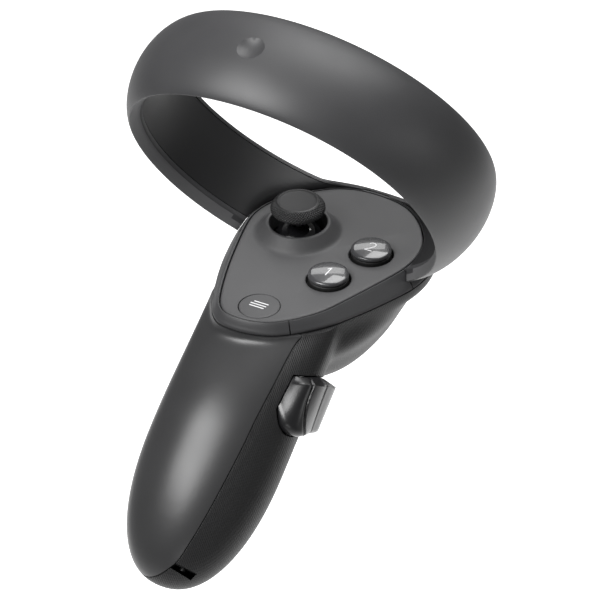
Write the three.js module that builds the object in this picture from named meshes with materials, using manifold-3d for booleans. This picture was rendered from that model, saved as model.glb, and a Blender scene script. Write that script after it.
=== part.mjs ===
// Hand-held motion controller for the left hand: a face plate with a thumbstick and
// three buttons, a handle that leaves the head backwards, and a tracking ring that
// loops over the thumb. Millimetres, +Z is the face plate's normal, +Y points forward,
// +X to the right, and the origin is the centre of the closed hand on the handle.
import * as THREE from "three";
import { mergeVertices } from "three/addons/utils/BufferGeometryUtils.js";
import Module from "manifold-3d";

const wasm = await Module();
wasm.setup();

// ---------------------------------------------------------------- driving dimensions
const GRIP_CENTRE = [0, -57, -25]; // hand centre, seen from the face plate's datum
const GAP = 0.3; // assembly gap between neighbouring pieces
const WALL = 2.0; // moulded wall
const PLATE_T = 2.0; // face plate thickness

// handle: centre line, half-widths and taper, measured along the handle from the plate plane
const HANDLE_BETA = THREE.MathUtils.degToRad(51.75);
const HANDLE_Y0 = -25.64;
const HANDLE_A = 20.3; // half-width across the palm
const HANDLE_BF = 18.6; // depth to the finger side
const HANDLE_BB = 15.5; // depth to the palm side
const HANDLE_STRAIGHT = 49.7; // where the rounded end begins
const HANDLE_END = 92.3; // tip
const HANDLE_EXP = 2.27;

// face plate outline, centre of the head at x = 0
const OUTLINE = [
  [-3.7, -45.0], [0.9, -44.5], [5.6, -42.7], [9.5, -39.5], [12.9, -35.4], [15.9, -30.6],
  [19.0, -22.5], [22.3, -12.9], [24.5, -6.2], [25.8, -0.7], [26.0, 5.3], [24.8, 10.8],
  [22.4, 15.4], [18.6, 20.3], [12.7, 25.1], [5.5, 27.4], [-4.2, 27.6], [-10.7, 25.4],
  [-16.0, 21.4], [-21.0, 15.6], [-24.6, 10.0], [-26.0, 4.3], [-25.9, 0], [-24.9, -4.8],
  [-22.5, -13.3], [-19.4, -23.2], [-15.6, -33.4], [-12.9, -39.4], [-11.2, -42.0], [-8.6, -44.2],
];
const OUT_C = [-0.6, -9];

// thumbstick
const STICK = { x: -10, y: 0, pivotZ: -4.6, tilt: 13, click: 0.5 };
const COLLAR = { rBase: 12.3, rTop: 9.35, rHole: 8.4, h: 3.7 };
const CAP = { r: 7.85, rTop: 5.6, z0: 5.4, z1: 10.8 };

// buttons
const BUTTONS = [
  { name: "button_1", x: 9.4, y: -17.0 },
  { name: "button_2", x: 14.1, y: -0.3 },
];
const BTN = { rHole: 6.45, r: 5.85, rim: 1.3, top: 2.5, travel: 1.2 };
// screws between the board and the plate
const SCREWS = [[-16, -17], [17.5, 12.5], [-15.5, 15.5], [5.5, -27]];
const MENU = { x: -1.2, y: -37.7, r: 5.9, travel: 0.4 };

// tracking ring: a band between a rim near the user and a wider rim ahead of it
const RING = {
  yb: -25.267, zb: 31.534, tb: 31.02, Rb: 46.327, ti: 3.429, ecb: 1.06, kb: 0.033, k2b: 0.032,
  yf: 2.596, zf: 42.002, tf: 28.97, Rf: 48.16, tif: 2.262, ecf: 0.96, kf: 0.014, k2f: 0,
  bulge: 4.816, x: 0.2,
};

// ---------------------------------------------------------------- helpers
const V = (x, y, z) => new THREE.Vector3(x, y, z);
const lerp = (a, b, s) => a + (b - a) * s;
const smooth = (s) => { s = Math.min(1, Math.max(0, s)); return s * s * (3 - 2 * s); };

function solid(geometry) {
  let g = geometry.index ? geometry : geometry.clone();
  g = g.clone();
  g.deleteAttribute("normal");
  g.deleteAttribute("uv");
  const m = mergeVertices(g, 1e-3);
  const s = new wasm.Manifold(
    new wasm.Mesh({ numProp: 3, vertProperties: new Float32Array(m.attributes.position.array), triVerts: new Uint32Array(m.index.array) }),
  );
  return s;
}

function geometryOf(manifold) {
  const m = manifold.getMesh();
  const n = m.numProp;
  const v = new Float32Array(m.numVert * 3);
  for (let i = 0; i < m.numVert; i++) v.set(m.vertProperties.subarray(i * n, i * n + 3), i * 3);
  const g = new THREE.BufferGeometry();
  g.setAttribute("position", new THREE.BufferAttribute(v, 3));
  g.setIndex(new THREE.BufferAttribute(new Uint32Array(m.triVerts), 1));
  g.computeVertexNormals();
  return g;
}

// a closed solid through a list of loops with the same number of points
function loft(loops, closed = false) {
  const n = loops[0].length;
  const pos = [];
  const idx = [];
  for (const l of loops) for (const p of l) pos.push(p[0], p[1], p[2]);
  const rows = loops.length;
  const last = closed ? rows : rows - 1;
  for (let r = 0; r < last; r++) {
    const a = r * n, b = ((r + 1) % rows) * n;
    for (let i = 0; i < n; i++) {
      const j = (i + 1) % n;
      idx.push(a + i, a + j, b + j, a + i, b + j, b + i);
    }
  }
  if (!closed) {
    for (const [r, flip] of [[0, true], [rows - 1, false]]) {
      const c = [0, 0, 0];
      for (const p of loops[r]) for (let k = 0; k < 3; k++) c[k] += p[k] / n;
      const ci = pos.length / 3;
      pos.push(...c);
      for (let i = 0; i < n; i++) {
        const j = (i + 1) % n;
        if (flip) idx.push(ci, r * n + j, r * n + i);
        else idx.push(ci, r * n + i, r * n + j);
      }
    }
  }
  let vol = 0;
  const P = (i) => V(pos[3 * i], pos[3 * i + 1], pos[3 * i + 2]);
  for (let i = 0; i < idx.length; i += 3) vol += P(idx[i]).dot(P(idx[i + 1]).cross(P(idx[i + 2])));
  if (vol < 0) for (let i = 0; i < idx.length; i += 3) [idx[i + 1], idx[i + 2]] = [idx[i + 2], idx[i + 1]];
  const g = new THREE.BufferGeometry();
  g.setAttribute("position", new THREE.BufferAttribute(new Float32Array(pos), 3));
  g.setIndex(idx);
  return g;
}

const box = (w, d, h, x, y, z) => solid(new THREE.BoxGeometry(w, d, h).translate(x, y, z));
// a cylinder along +Z from z0 to z1
const cyl = (r, z0, z1, x = 0, y = 0, n = 24, r2 = r) =>
  solid(new THREE.CylinderGeometry(r2, r, z1 - z0, n).rotateX(Math.PI / 2).translate(x, y, (z0 + z1) / 2));
// a cylinder along X
const cylX = (r, x0, x1, y, z, n = 16) =>
  solid(new THREE.CylinderGeometry(r, r, x1 - x0, n).rotateZ(Math.PI / 2).translate((x0 + x1) / 2, y, z));
const cylY = (r, y0, y1, x, z, n = 16) =>
  solid(new THREE.CylinderGeometry(r, r, y1 - y0, n).translate(x, (y0 + y1) / 2, z));
function latheUp(pts, x = 0, y = 0, z = 0, n = 32) {
  let s = new THREE.LatheGeometry(pts.map((p) => new THREE.Vector2(p[0], p[1])), n).rotateX(Math.PI / 2).translate(x, y, z);
  let m = solid(s);
  if (m.volume() < 0) m = solid(new THREE.LatheGeometry([...pts].reverse().map((p) => new THREE.Vector2(p[0], p[1])), n).rotateX(Math.PI / 2).translate(x, y, z));
  return m;
}

// periodic spline through the outline, sampled by polar angle
const fine = new THREE.CatmullRomCurve3(OUTLINE.map((p) => V(p[0], p[1], 0)), true, "centripetal").getPoints(720);
const polar = fine.map((p) => [Math.atan2(p.y - OUT_C[1], p.x - OUT_C[0]), Math.hypot(p.x - OUT_C[0], p.y - OUT_C[1])]).sort((a, b) => a[0] - b[0]);
function outlineR(t) {
  t = Math.atan2(Math.sin(t), Math.cos(t));
  let i = polar.findIndex((p) => p[0] >= t);
  if (i <= 0) i = polar[0][0] >= t ? 0 : polar.length;
  const a = i === 0 ? [polar[polar.length - 1][0] - 2 * Math.PI, polar[polar.length - 1][1]] : polar[i - 1];
  const b = i >= polar.length ? [polar[0][0] + 2 * Math.PI, polar[0][1]] : polar[i];
  const s = b[0] > a[0] ? (t - a[0]) / (b[0] - a[0]) : 0;
  return lerp(a[1], b[1], s);
}
const outlineAt = (t) => [OUT_C[0] + outlineR(t) * Math.cos(t), OUT_C[1] + outlineR(t) * Math.sin(t)];
function outlineNormal(t) {
  const a = outlineAt(t - 0.06), b = outlineAt(t + 0.06);
  const dx = b[0] - a[0], dy = b[1] - a[1], l = Math.hypot(dx, dy);
  return [dy / l, -dx / l];
}
const N = 32;
const TH = [...Array(N)].map((_, i) => (i / N) * 2 * Math.PI);
// a loop of the outline moved out by off(point), at height z(point)
function outlineLoop(off, z, th = TH) {
  return th.map((t) => {
    const p = outlineAt(t), m = outlineNormal(t);
    const o = typeof off === "function" ? off(p[1], t) : off;
    const q = [p[0] + m[0] * o, p[1] + m[1] * o];
    return [q[0], q[1], typeof z === "function" ? z(p[1], t) : z];
  });
}
const prism = (off, z0, z1) => solid(loft([outlineLoop(off, z0), outlineLoop(off, z1)]));

// collar under the plate edge: how far out and how far down its lower edge is
const collarOut = (y) => 2.3 + 1.5 * smooth((y + 45) / 32);
const collarZ = (y) => -3.2 - 2.3 * Math.min(1, Math.max(0, (y + 47) / 45));

// handle frame: centre line point and the direction to the finger side
const H = [0, -Math.sin(HANDLE_BETA), -Math.cos(HANDLE_BETA)];
const F = [0, Math.cos(HANDLE_BETA), -Math.sin(HANDLE_BETA)];
const handlePoint = (t, x, f) => [x, HANDLE_Y0 + t * H[1] + f * F[1], t * H[2] + f * F[2]];
const palmDepth = (t) => HANDLE_BB - 10.5 * (1 - smooth((t + 2) / 50));
function handleK(t) {
  if (t <= HANDLE_STRAIGHT) return 1;
  const s = (t - HANDLE_STRAIGHT) / (HANDLE_END - HANDLE_STRAIGHT);
  return Math.pow(Math.max(0, 1 - Math.pow(s, HANDLE_EXP)), 1 / HANDLE_EXP);
}
function handleLoop(t, o = 0, th = TH) {
  const k = handleK(t);
  return th.map((p) => {
    const c = Math.cos(p), s = Math.sin(p);
    const a = k * HANDLE_A, b = k * (s > 0 ? HANDLE_BF : palmDepth(t));
    // move out along the section's normal
    let nx = c / a, nf = s / b;
    const l = Math.hypot(nx, nf) || 1;
    nx /= l; nf /= l;
    return handlePoint(t, a * c + nx * o, b * s + nf * o);
  });
}
const HT = [8, 17, 26, 36, 48, 58, 67, 75, 81.5, 86.5, 90, 91.8];
function handleSolid(o) {
  const loops = HT.map((t) => handleLoop(t, o));
  // rounded tip: the last loops move along the handle with the offset
  loops[loops.length - 1] = handleLoop(91.8, Math.max(o, -2.3)).map((p) => [p[0], p[1] + H[1] * o, p[2] + H[2] * o]);
  if (o < 0) {
    // keep the wall at the tip
    const kept = loops.slice(0, loops.length - 3);
    kept.push(handleLoop(85.5, o), handleLoop(88.6, o * 1.15));
    return solid(loft(kept));
  }
  return solid(loft(loops));
}

// head: the lobe under the collar that narrows down to the trigger
// [z, half-width, y rear, y front]
const HEAD = [
  [-13, 25.2, -42, 28.5],
  [-20, 21.4, -37, 25.5],
  [-27, 18.0, -31, 20.0],
  [-32, 15.2, -25, 14.0],
  [-35.2, 11.5, -19, 8.0],
];
function headLoop(row, o) {
  const [z, w, ya, yb] = row;
  const yc = (ya + yb) / 2 + 3, rf = yb - yc, rb = yc - ya;
  return TH.map((p) => {
    const c = Math.cos(p), s = Math.sin(p);
    const e = 2 / 2.35;
    const x = (w + o) * Math.sign(c) * Math.pow(Math.abs(c), e);
    const y = yc + ((s > 0 ? rf : rb) + o) * Math.sign(s) * Math.pow(Math.abs(s), e);
    return [x, y, z - (o > 0 ? 0 : 0)];
  });
}
function headSolid(o, top = 0) {
  const loops = [];
  const lift = (y) => collarZ(y) - GAP + top;
  loops.push(outlineLoop((y) => collarOut(y) + o, lift));
  loops.push(outlineLoop((y) => collarOut(y) + o - 0.3, (y) => collarZ(y) - 3.2));
  for (const row of HEAD) loops.push(headLoop(row, o));
  const last = HEAD[HEAD.length - 1];
  loops.push(headLoop([last[0] - 1.4 - o, last[1] - 3.2, last[2] + 4, last[3] - 3.5], o));
  return solid(loft(loops));
}

// ---------------------------------------------------------------- scene graph
const root = new THREE.Group();
const body = new THREE.Group();
body.position.set(-GRIP_CENTRE[0], -GRIP_CENTRE[1], -GRIP_CENTRE[2]);
root.add(body);
const handle = new THREE.Group(); // local x across, y to the finger side, -z along the handle
handle.position.set(0, HANDLE_Y0, 0);
handle.rotation.x = -HANDLE_BETA;
body.add(handle);

const FINISH = {
  shell: [0x2b2b2d, 0.52, 0], dark: [0x151516, 0.6, 0], plate: [0x333335, 0.6, 0], liner: [0x1c1c1e, 0.65, 0],
  gloss: [0x0c0c0d, 0.18, 0], cap: [0x55575a, 0.12, 0], rubber: [0x1a1a1b, 0.85, 0], frame: [0x202123, 0.6, 0],
  board: [0x0e3a24, 0.55, 0], steel: [0xb8bbbf, 0.3, 0.9], magnet: [0x9a9da1, 0.35, 0.9], cell: [0x7c8084, 0.35, 0.6],
  flex: [0x8a5a1c, 0.5, 0],
};
function put(group, name, m, finish) {
  const [color, roughness, metalness] = FINISH[finish];
  let g = m.isBufferGeometry ? m : geometryOf(m);
  const mesh = new THREE.Mesh(g, new THREE.MeshStandardMaterial({ color, roughness, metalness }));
  mesh.name = name;
  group.add(mesh);
  return mesh;
}

// ---------------------------------------------------------------- face plate
const plateTop = outlineLoop(-0.45, 0), plateEdge = outlineLoop(0, -0.45), plateFoot = outlineLoop(0, -PLATE_T);
let plate = solid(loft([plateFoot, plateEdge, plateTop]));
// the stick's raised rim is moulded on the plate
plate = plate.add(
  latheUp([[COLLAR.rHole, -1.5], [COLLAR.rBase + 0.6, -0.8], [COLLAR.rBase + 0.6, -0.2], [COLLAR.rBase - 0.3, 0.35], [10.7, 1.7], [COLLAR.rTop + 0.2, COLLAR.h - 0.5], [COLLAR.rTop - 0.25, COLLAR.h], [COLLAR.rHole + 0.35, COLLAR.h], [COLLAR.rHole, COLLAR.h - 0.5], [COLLAR.rHole, -1.5]], STICK.x, STICK.y, 0, 36),
);
plate = plate.subtract(cyl(COLLAR.rHole, -5, 3, STICK.x, STICK.y, 36));
for (const b of BUTTONS) plate = plate.subtract(cyl(BTN.rHole, -5, 3, b.x, b.y, 28));
plate = plate.subtract(cyl(MENU.r + 0.3, -5, 3, MENU.x, MENU.y, 28));
for (const [x, y] of SCREWS) plate = plate.add(cyl(2.3, -6.3, -1.5, x, y, 14)).subtract(cyl(1.15, -7, -1.4, x, y, 12));
put(body, "face_plate", plate, "plate");

// ---------------------------------------------------------------- bezel halves
function bezelSolid() {
  const sect = [];
  for (const t of TH) {
    const p = outlineAt(t), m = outlineNormal(t), y = p[1];
    const o = collarOut(y), z = collarZ(y);
    const q = (off, zz) => [p[0] + m[0] * off, p[1] + m[1] * off, zz];
    sect.push([q(0.3, -0.25), q(0.75, -0.1), q(o, z + 0.5), q(o - 0.2, z), q(o - 2.0, z), q(-1.3, z), q(-1.3, -PLATE_T - GAP), q(0.3, -PLATE_T - GAP)]);
  }
  return solid(loft(sect, true));
}
const bezel = bezelSolid();
// the left half runs from the ring's left root round the narrow end to the seam on the right
const seamDir = Math.atan2(-41.0 - OUT_C[1], 9.6 - OUT_C[0]);
const wedge = (a0, a1, off = 0) => {
  // a thick wedge about the outline's centre between two polar angles
  const c = [OUT_C[0], OUT_C[1]];
  const pts = [new THREE.Vector2(c[0], c[1])];
  const n = 8;
  for (let i = 0; i <= n; i++) {
    const a = a0 + ((a1 - a0) * i) / n;
    pts.push(new THREE.Vector2(c[0] + 90 * Math.cos(a), c[1] + 90 * Math.sin(a)));
  }
  return solid(new THREE.ExtrudeGeometry(new THREE.Shape(pts), { depth: 30, bevelEnabled: false }).translate(0, 0, -22));
};
const leftRoot = Math.atan2(-6.6 - OUT_C[1], -25 - OUT_C[0]);
const rightRoot = Math.atan2(-2.4 - OUT_C[1], 26 - OUT_C[0]);
const TAU = 2 * Math.PI;
const gapA = 0.15 / 34;
put(body, "bezel_left", bezel.intersect(wedge(leftRoot + gapA, seamDir + TAU - gapA)), "shell");
put(body, "bezel_right", bezel.intersect(wedge(seamDir + gapA, rightRoot - gapA)), "shell");
put(body, "bezel_front", bezel.intersect(wedge(rightRoot + gapA, leftRoot - gapA)), "shell");

// ---------------------------------------------------------------- tracking ring
const rad = THREE.MathUtils.degToRad;
function rimPoint(which, th, dR = 0) {
  const b = which === "b";
  const tau = rad(b ? RING.tb : RING.tf), R = (b ? RING.Rb : RING.Rf) + dR, ec = b ? RING.ecb : RING.ecf;
  const k = b ? RING.kb : RING.kf, k2 = b ? RING.k2b : RING.k2f, y0 = b ? RING.yb : RING.yf, z0 = b ? RING.zb : RING.zf;
  const s = Math.sin(th), cx = Math.cos(th) * (1 + k * s + k2 * s * s);
  return [RING.x + R * cx, y0 - Math.sin(tau) * R * ec * s, z0 + Math.cos(tau) * R * ec * s];
}
function ringSection(th) {
  const Bo = rimPoint("b", th), Bi = rimPoint("b", th, -RING.ti), Fi = rimPoint("f", th), Fo = rimPoint("f", th, RING.tif);
  const cb = V(RING.x, RING.yb, RING.zb), cf = V(RING.x, RING.yf, RING.zf);
  const ax = cf.clone().sub(cb).normalize();
  const outer = (s) => {
    const M = V(lerp(Bo[0], Fo[0], s), lerp(Bo[1], Fo[1], s), lerp(Bo[2], Fo[2], s));
    const n = M.clone().sub(cb.clone().lerp(cf, s));
    n.addScaledVector(ax, -n.dot(ax)).normalize();
    return { p: M.addScaledVector(n, RING.bulge * Math.pow(1 - Math.pow(Math.abs(2 * s - 1), 2), 0.75)), n };
  };
  const inner = (s) => {
    const p = V(lerp(Bi[0], Fi[0], s), lerp(Bi[1], Fi[1], s), lerp(Bi[2], Fi[2], s));
    return { p, n: outer(s).n };
  };
  return { outer, inner };
}
const NR = 44;
function ringSolid(sectionPoints) {
  const loops = [];
  for (let i = 0; i < NR; i++) {
    const s = ringSection((i / NR) * TAU);
    loops.push(sectionPoints(s, (i / NR) * TAU).map((v) => [v.x, v.y, v.z]));
  }
  return solid(loft(loops, true));
}
const off = (o, d) => o.p.clone().addScaledVector(o.n, d);
let ringShell = ringSolid((s) => [
  ...[0, 0.06, 0.22, 0.45, 0.68, 0.9, 1].map((q) => s.outer(q).p),
  s.inner(1).p, s.inner(0.94).p, off(s.inner(0.94), 1.9), off(s.outer(0.72), -1.8), off(s.outer(0.4), -1.8), off(s.inner(0.06), 2.3), s.inner(0.06).p, s.inner(0).p,
]);
let ringLiner = ringSolid((s) => [off(s.inner(0.07), 0.15), off(s.inner(0.93), 0.15), off(s.inner(0.93), 1.45), off(s.inner(0.07), 1.45)]);
// the roots stop at the head: everything inside the plate's outline or inside the head housing is cleared
const headClear = headSolid(GAP + 0.02, 0.0);
const rootCut = prism(0.35, -60, 2.6).add(headClear).add(
  // bezel clearance
  solid(loft([outlineLoop((y) => collarOut(y) + 0.35, (y) => collarZ(y) - 0.6), outlineLoop((y) => collarOut(y) + 0.35, (y) => collarZ(y) + 0.9), outlineLoop(0.95, 0.25)])),
);
const largest = (m) => {
  const parts = m.decompose();
  return parts.reduce((a, b) => (b.volume() > a.volume() ? b : a));
};
ringShell = largest(ringShell.subtract(rootCut).subtract(box(200, 200, 60, 0, 0, -44)));
ringLiner = largest(ringLiner.subtract(rootCut).subtract(box(200, 200, 60, 0, 0, -44)));
// a small round dimple on the ring's crown
put(body, "ring_outer_shell", ringShell, "shell");
put(body, "ring_inner_liner", ringLiner, "liner");

// light strip between shell and liner: a ribbon with raised emitters, over the upper part of the ring
function arcBand(t0, t1, n, pts) {
  const loops = [];
  for (let i = 0; i <= n; i++) {
    const th = lerp(t0, t1, i / n);
    loops.push(pts(ringSection(th)).map((v) => [v.x, v.y, v.z]));
  }
  return solid(loft(loops));
}
let strip = arcBand(rad(-8), rad(188), 26, (s) => [off(s.inner(0.3), 2.3), off(s.inner(0.7), 2.3), off(s.inner(0.7), 2.7), off(s.inner(0.3), 2.7)]);
for (let i = 0; i < 11; i++) {
  const th = lerp(rad(0), rad(180), i / 10);
  const q = i % 2 ? 0.4 : 0.6;
  strip = strip.add(arcBand(th - 0.022, th + 0.022, 1, (s) => [off(s.inner(q - 0.035), 2.5), off(s.inner(q + 0.035), 2.5), off(s.inner(q + 0.035), 3.5), off(s.inner(q - 0.035), 3.5)]));
}
put(body, "ring_light_strip", strip, "flex");

// ---------------------------------------------------------------- housing: grip shell and battery cover
const outerEnv = headSolid(0).add(handleSolid(0));
// the inside is open upward, so the plate and the collar close it
const innerEnv = headSolid(-WALL, 4).add(handleSolid(-WALL));
const skin = outerEnv.subtract(innerEnv).subtract(
  solid(loft([
    [...outlineLoop((y) => collarOut(y) + 0.35, (y) => collarZ(y) - GAP)],
    [...outlineLoop((y) => collarOut(y) + 0.35, 12)],
  ])),
);
// parting surface: a plane along the handle, from the right of the palm to the left flank
function handleBox(x0, x1, f0, f1, t0, t1, tilt = 0, px = 0, pf = 0) {
  // a box in the handle's frame, turned about the handle's direction by tilt at (px, pf)
  const g = new THREE.BoxGeometry(x1 - x0, f1 - f0, t1 - t0).translate((x0 + x1) / 2 - px, (f0 + f1) / 2 - pf, -(t0 + t1) / 2);
  g.rotateZ(tilt).translate(px, pf, 0);
  g.rotateX(-HANDLE_BETA).translate(0, HANDLE_Y0, 0);
  return solid(g);
}
// right seam (x, f) of the battery cover along the handle, and where the parting surface meets the left flank
const SEAM = [
  [4, 13.4, -3.6, -19.6, 1.0], [12.5, 13.3, -5.4, -19.8, -0.5], [26, 12.9, -8.5, -20, -2], [41, 13.0, -11.4, -20, -2.5], [50, 12.9, -12.0, -20, -2.5],
  [61, 11.9, -12.1, -19.2, -2.5], [70, 10.4, -11.5, -17.5, -2.5], [80, 8.1, -9.9, -14, -2], [86, 5.0, -7.7, -11, -1.5], [90, 2.6, -6.2, -7, -1], [100, -1, -3, -5, 0],
];
function coverZone(g) {
  return solid(loft(SEAM.map(([t, xr, fr, xl, fl]) => {
    const dx = xr - xl, df = fr - fl, l = Math.hypot(dx, df);
    const ux = dx / l, uf = df / l, nx = uf, nf = -ux; // normal to the palm side
    const q = (s, d) => handlePoint(t, xl + ux * s + nx * d, fl + uf * s + nf * d);
    return [q(-50, g), q(l + 50, g), q(l + 50, g + 70), q(-50, g + 70)];
  })));
}
let cover = skin.intersect(coverZone(GAP / 2));
let gripShell = skin.subtract(coverZone(-GAP / 2));
// trigger bay at the front of the head
const TRIG = { y: 17.5, z: -13, w: 10.9, travel: 16 };
function prismYZ(pts, x0, x1) {
  const sh = new THREE.Shape(pts.map((p) => new THREE.Vector2(p[0], p[1])));
  const g = new THREE.ExtrudeGeometry(sh, { depth: x1 - x0, bevelEnabled: false });
  return solid(g.applyMatrix4(new THREE.Matrix4().makeBasis(V(0, 1, 0), V(0, 0, 1), V(1, 0, 0))).translate(x0, 0, 0));
}
gripShell = gripShell.subtract(prismYZ([[45, -9.3], [45, -50], [-3.5, -50], [-7, -30], [2.5, -21], [8, -9.3]], -TRIG.w - 0.5, TRIG.w + 0.5));
// window of the grip lever, on the right flank towards the fingers
const LEVER = { t0: 21.8, t1: 37.2, x: 14.0, f: -4.6, travel: 8 };
gripShell = gripShell.subtract(handleBox(8.5, 34, -7.9, 15.6, LEVER.t0 - 0.6, LEVER.t1 + 0.6));
// strap slot near the tip, on the palm's right
gripShell = gripShell.subtract(handleBox(4.6, 13.4, -22, 0.5, 84.2, 86.6));
cover = cover.subtract(handleBox(3.6, 13.4, -22, 1.5, 83.9, 86.9));
// bosses for the frame's screws, on the finger side
gripShell = gripShell.subtract(solid(new THREE.CylinderGeometry(1.4, 1.4, 21, 16).rotateX(Math.PI / 2).translate(LEVER.x, LEVER.f, -(LEVER.t0 + LEVER.t1) / 2).rotateX(-HANDLE_BETA).translate(0, HANDLE_Y0, 0)));
const FRAME_SCREWS = [[-10.6, 40], [-10.6, 64]];
const boss = (x, t, f0, f1, r) => solid(new THREE.CylinderGeometry(r, r, f1 - f0, 16).translate(x, (f0 + f1) / 2, -t).rotateX(-HANDLE_BETA).translate(0, HANDLE_Y0, 0));
for (const [x, t] of FRAME_SCREWS) gripShell = gripShell.add(boss(x, t, 7.4, 15.4, 2.6)).subtract(boss(x, t, 7.0, 14.2, 1.15));
put(body, "grip_shell", largest(gripShell), "shell");
put(body, "battery_cover", largest(cover), "shell");

// ---------------------------------------------------------------- main board and button mat
const BOARD = { z0: -7.9, z1: -6.7 };
let board = prism(-4.2, BOARD.z0, BOARD.z1).subtract(box(18.8, 18.8, 6, STICK.x, STICK.y, -7.3));
for (const [x, y] of SCREWS) board = board.subtract(cyl(1.3, -9, -5, x, y, 12));
put(body, "main_board", board, "board");
const matPts = [[4.4, -24.5], [15.5, -24], [20.5, -8], [20.5, 4], [15.5, 7], [8.5, 6], [3.4, -10.5], [-5, -31], [-5.5, -38.5], [3, -39], [4.4, -33]];
let mat = solid(new THREE.ExtrudeGeometry(new THREE.Shape(matPts.map((p) => new THREE.Vector2(p[0], p[1]))), { depth: 0.7, bevelEnabled: false }).translate(0, 0, -6.4));
for (const b of [...BUTTONS, MENU]) mat = mat.add(cyl(2.7, -6, -5.5, b.x, b.y, 16, 2.0));
for (const [x, y] of SCREWS) mat = mat.subtract(cyl(2.8, -8, -4, x, y, 12));
put(body, "button_mat", mat, "rubber");

// ---------------------------------------------------------------- buttons
const lathePiece = (pts, x, y, n = 22) => latheUp(pts, x, y, 0, n);
for (const b of BUTTONS) {
  put(body, b.name + "_cap", lathePiece([[0, 1.0], [BTN.r - 0.1, 1.0], [BTN.r, 1.15], [BTN.r, 1.7], [BTN.r - 0.35, 2.1], [4.2, 2.42], [2.2, 2.56], [0, 2.6]], b.x, b.y), "cap");
  put(body, b.name + "_plunger", lathePiece([[0, -4.1], [2, -4.1], [2, -3.4], [7.1, -3.4], [7.1, -2.5], [BTN.r, -2.5], [BTN.r, 0.55], [BTN.r - 0.25, 0.7], [0, 0.7]], b.x, b.y), "dark");
}
let menu = lathePiece([[0, -4.6], [1.8, -4.6], [1.8, -3.4], [6.5, -3.4], [6.5, -2.6], [MENU.r - 0.05, -2.6], [MENU.r - 0.05, -0.2], [MENU.r - 0.3, 0], [0, 0]], MENU.x, MENU.y);
menu = menu.intersect(prism(-2.6, -6, -1.4).add(prism(-0.6, -1.5, 2)));
put(body, "menu_button", menu, "plate");

// ---------------------------------------------------------------- thumbstick
const PZ = STICK.pivotZ;
let housing = box(17.8, 17.8, 7.6, STICK.x, STICK.y, -7.0).subtract(box(15, 15, 8, STICK.x, STICK.y, -5.6)).subtract(cylX(1.3, STICK.x - 12, STICK.x + 12, STICK.y, PZ));
put(body, "stick_housing", housing, "dark");
let gimbal = box(13, 11.4, 3, STICK.x, STICK.y, PZ).subtract(box(9, 7.6, 6, STICK.x, STICK.y, PZ));
gimbal = gimbal.add(cylX(1.1, STICK.x - 8.7, STICK.x - 6, STICK.y, PZ)).add(cylX(1.1, STICK.x + 6, STICK.x + 8.7, STICK.y, PZ)).subtract(cylY(1.2, STICK.y - 8, STICK.y + 8, STICK.x, PZ));
put(body, "stick_gimbal_frame", gimbal, "steel");
let pivot = box(6.2, 6.4, 2.8, STICK.x, STICK.y, PZ).add(cylY(1.0, STICK.y - 5.4, STICK.y + 5.4, STICK.x, PZ)).subtract(cyl(2.2, -9, 0, STICK.x, STICK.y, 20));
put(body, "stick_pivot_block", pivot, "dark");
put(body, "stick_shaft", cyl(1.85, PZ - 3.3, 8.1, STICK.x, STICK.y, 20), "steel");
const domePts = [];
for (let a = 17; a <= 56; a += 9.75) domePts.push([8.0 * Math.sin(rad(a)), PZ + 8.0 * Math.cos(rad(a))]);
for (let a = 56; a >= 17; a -= 9.75) domePts.push([7.1 * Math.sin(rad(a)), PZ + 7.1 * Math.cos(rad(a))]);
domePts.push([8.0 * Math.sin(rad(17)), PZ + 8.0 * Math.cos(rad(17))]);
put(body, "stick_dome", latheUp(domePts, STICK.x, STICK.y, 0, 20), "gloss");
put(body, "stick_cap", latheUp([[2.2, 6.5], [5.2, 6.5], [6.9, 6.8], [7.6, 7.4], [CAP.r, 8.3], [7.5, 9.4], [6.7, 10.3], [5.75, 10.8], [5.3, 10.7], [2.6, 10.4], [0, 10.3], [0, 8.4], [2.2, 8.4], [2.2, 6.5]], STICK.x, STICK.y, 0, 24), "rubber");

// ---------------------------------------------------------------- screws that hold the board to the plate
SCREWS.forEach(([x, y], i) => {
  put(body, "board_screw_" + (i + 1), lathePiece([[0, -9.6], [1.6, -9.6], [1.9, -9.3], [1.9, -8.2], [0.9, -8.2], [0.9, -3.4], [0, -3.4]], x, y, 14), "steel");
});

// ---------------------------------------------------------------- index trigger
const bladeEnv = headSolid(1.0);
let blade = prismYZ([[45, -9.6], [45, -50], [1.5, -50], [0.8, -34.8], [6, -31], [11, -26.5], [14, -21], [14.4, -16.5], [13.4, -13], [14.6, -10.4], [17.5, -9.6]], -TRIG.w, TRIG.w).intersect(bladeEnv);
blade = blade.subtract(cylX(1.5, -20, 20, TRIG.y, TRIG.z)).subtract(cylX(3.3, -4.5, 4.5, TRIG.y, TRIG.z, 20)).subtract(box(9, 8, 6, 0, 13.4, TRIG.z));
blade = blade.subtract(cylX(1.9, 8.2, 12, TRIG.y + 4.8, TRIG.z - 1));
put(body, "trigger_lever", largest(blade), "dark");
put(body, "trigger_magnet", cylX(1.6, 8.5, 10.6, TRIG.y + 4.8, TRIG.z - 1), "magnet");
put(body, "trigger_pin", cylX(1.2, -14.8, 14.8, TRIG.y, TRIG.z), "steel");
const earPts = [[13, -8.35], [13, -14], [15.2, -15.6], [19, -15.6], [20.4, -14], [20.4, -8.35]];
let bracket = prismYZ(earPts, -14.2, -11.9).add(prismYZ(earPts, 11.9, 14.2)).add(box(28.4, 7.4, 0.9, 0, 16.7, -8.8)).subtract(cylX(1.35, -20, 20, TRIG.y, TRIG.z));
for (const [x, y] of SCREWS) bracket = bracket.subtract(cyl(2.4, -12, -6, x, y, 12));
put(body, "trigger_bracket", bracket, "steel");
put(body, "trigger_sensor_board", box(0.9, 5.4, 3.2, 15.6, 16.8, -11.7), "board");
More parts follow.
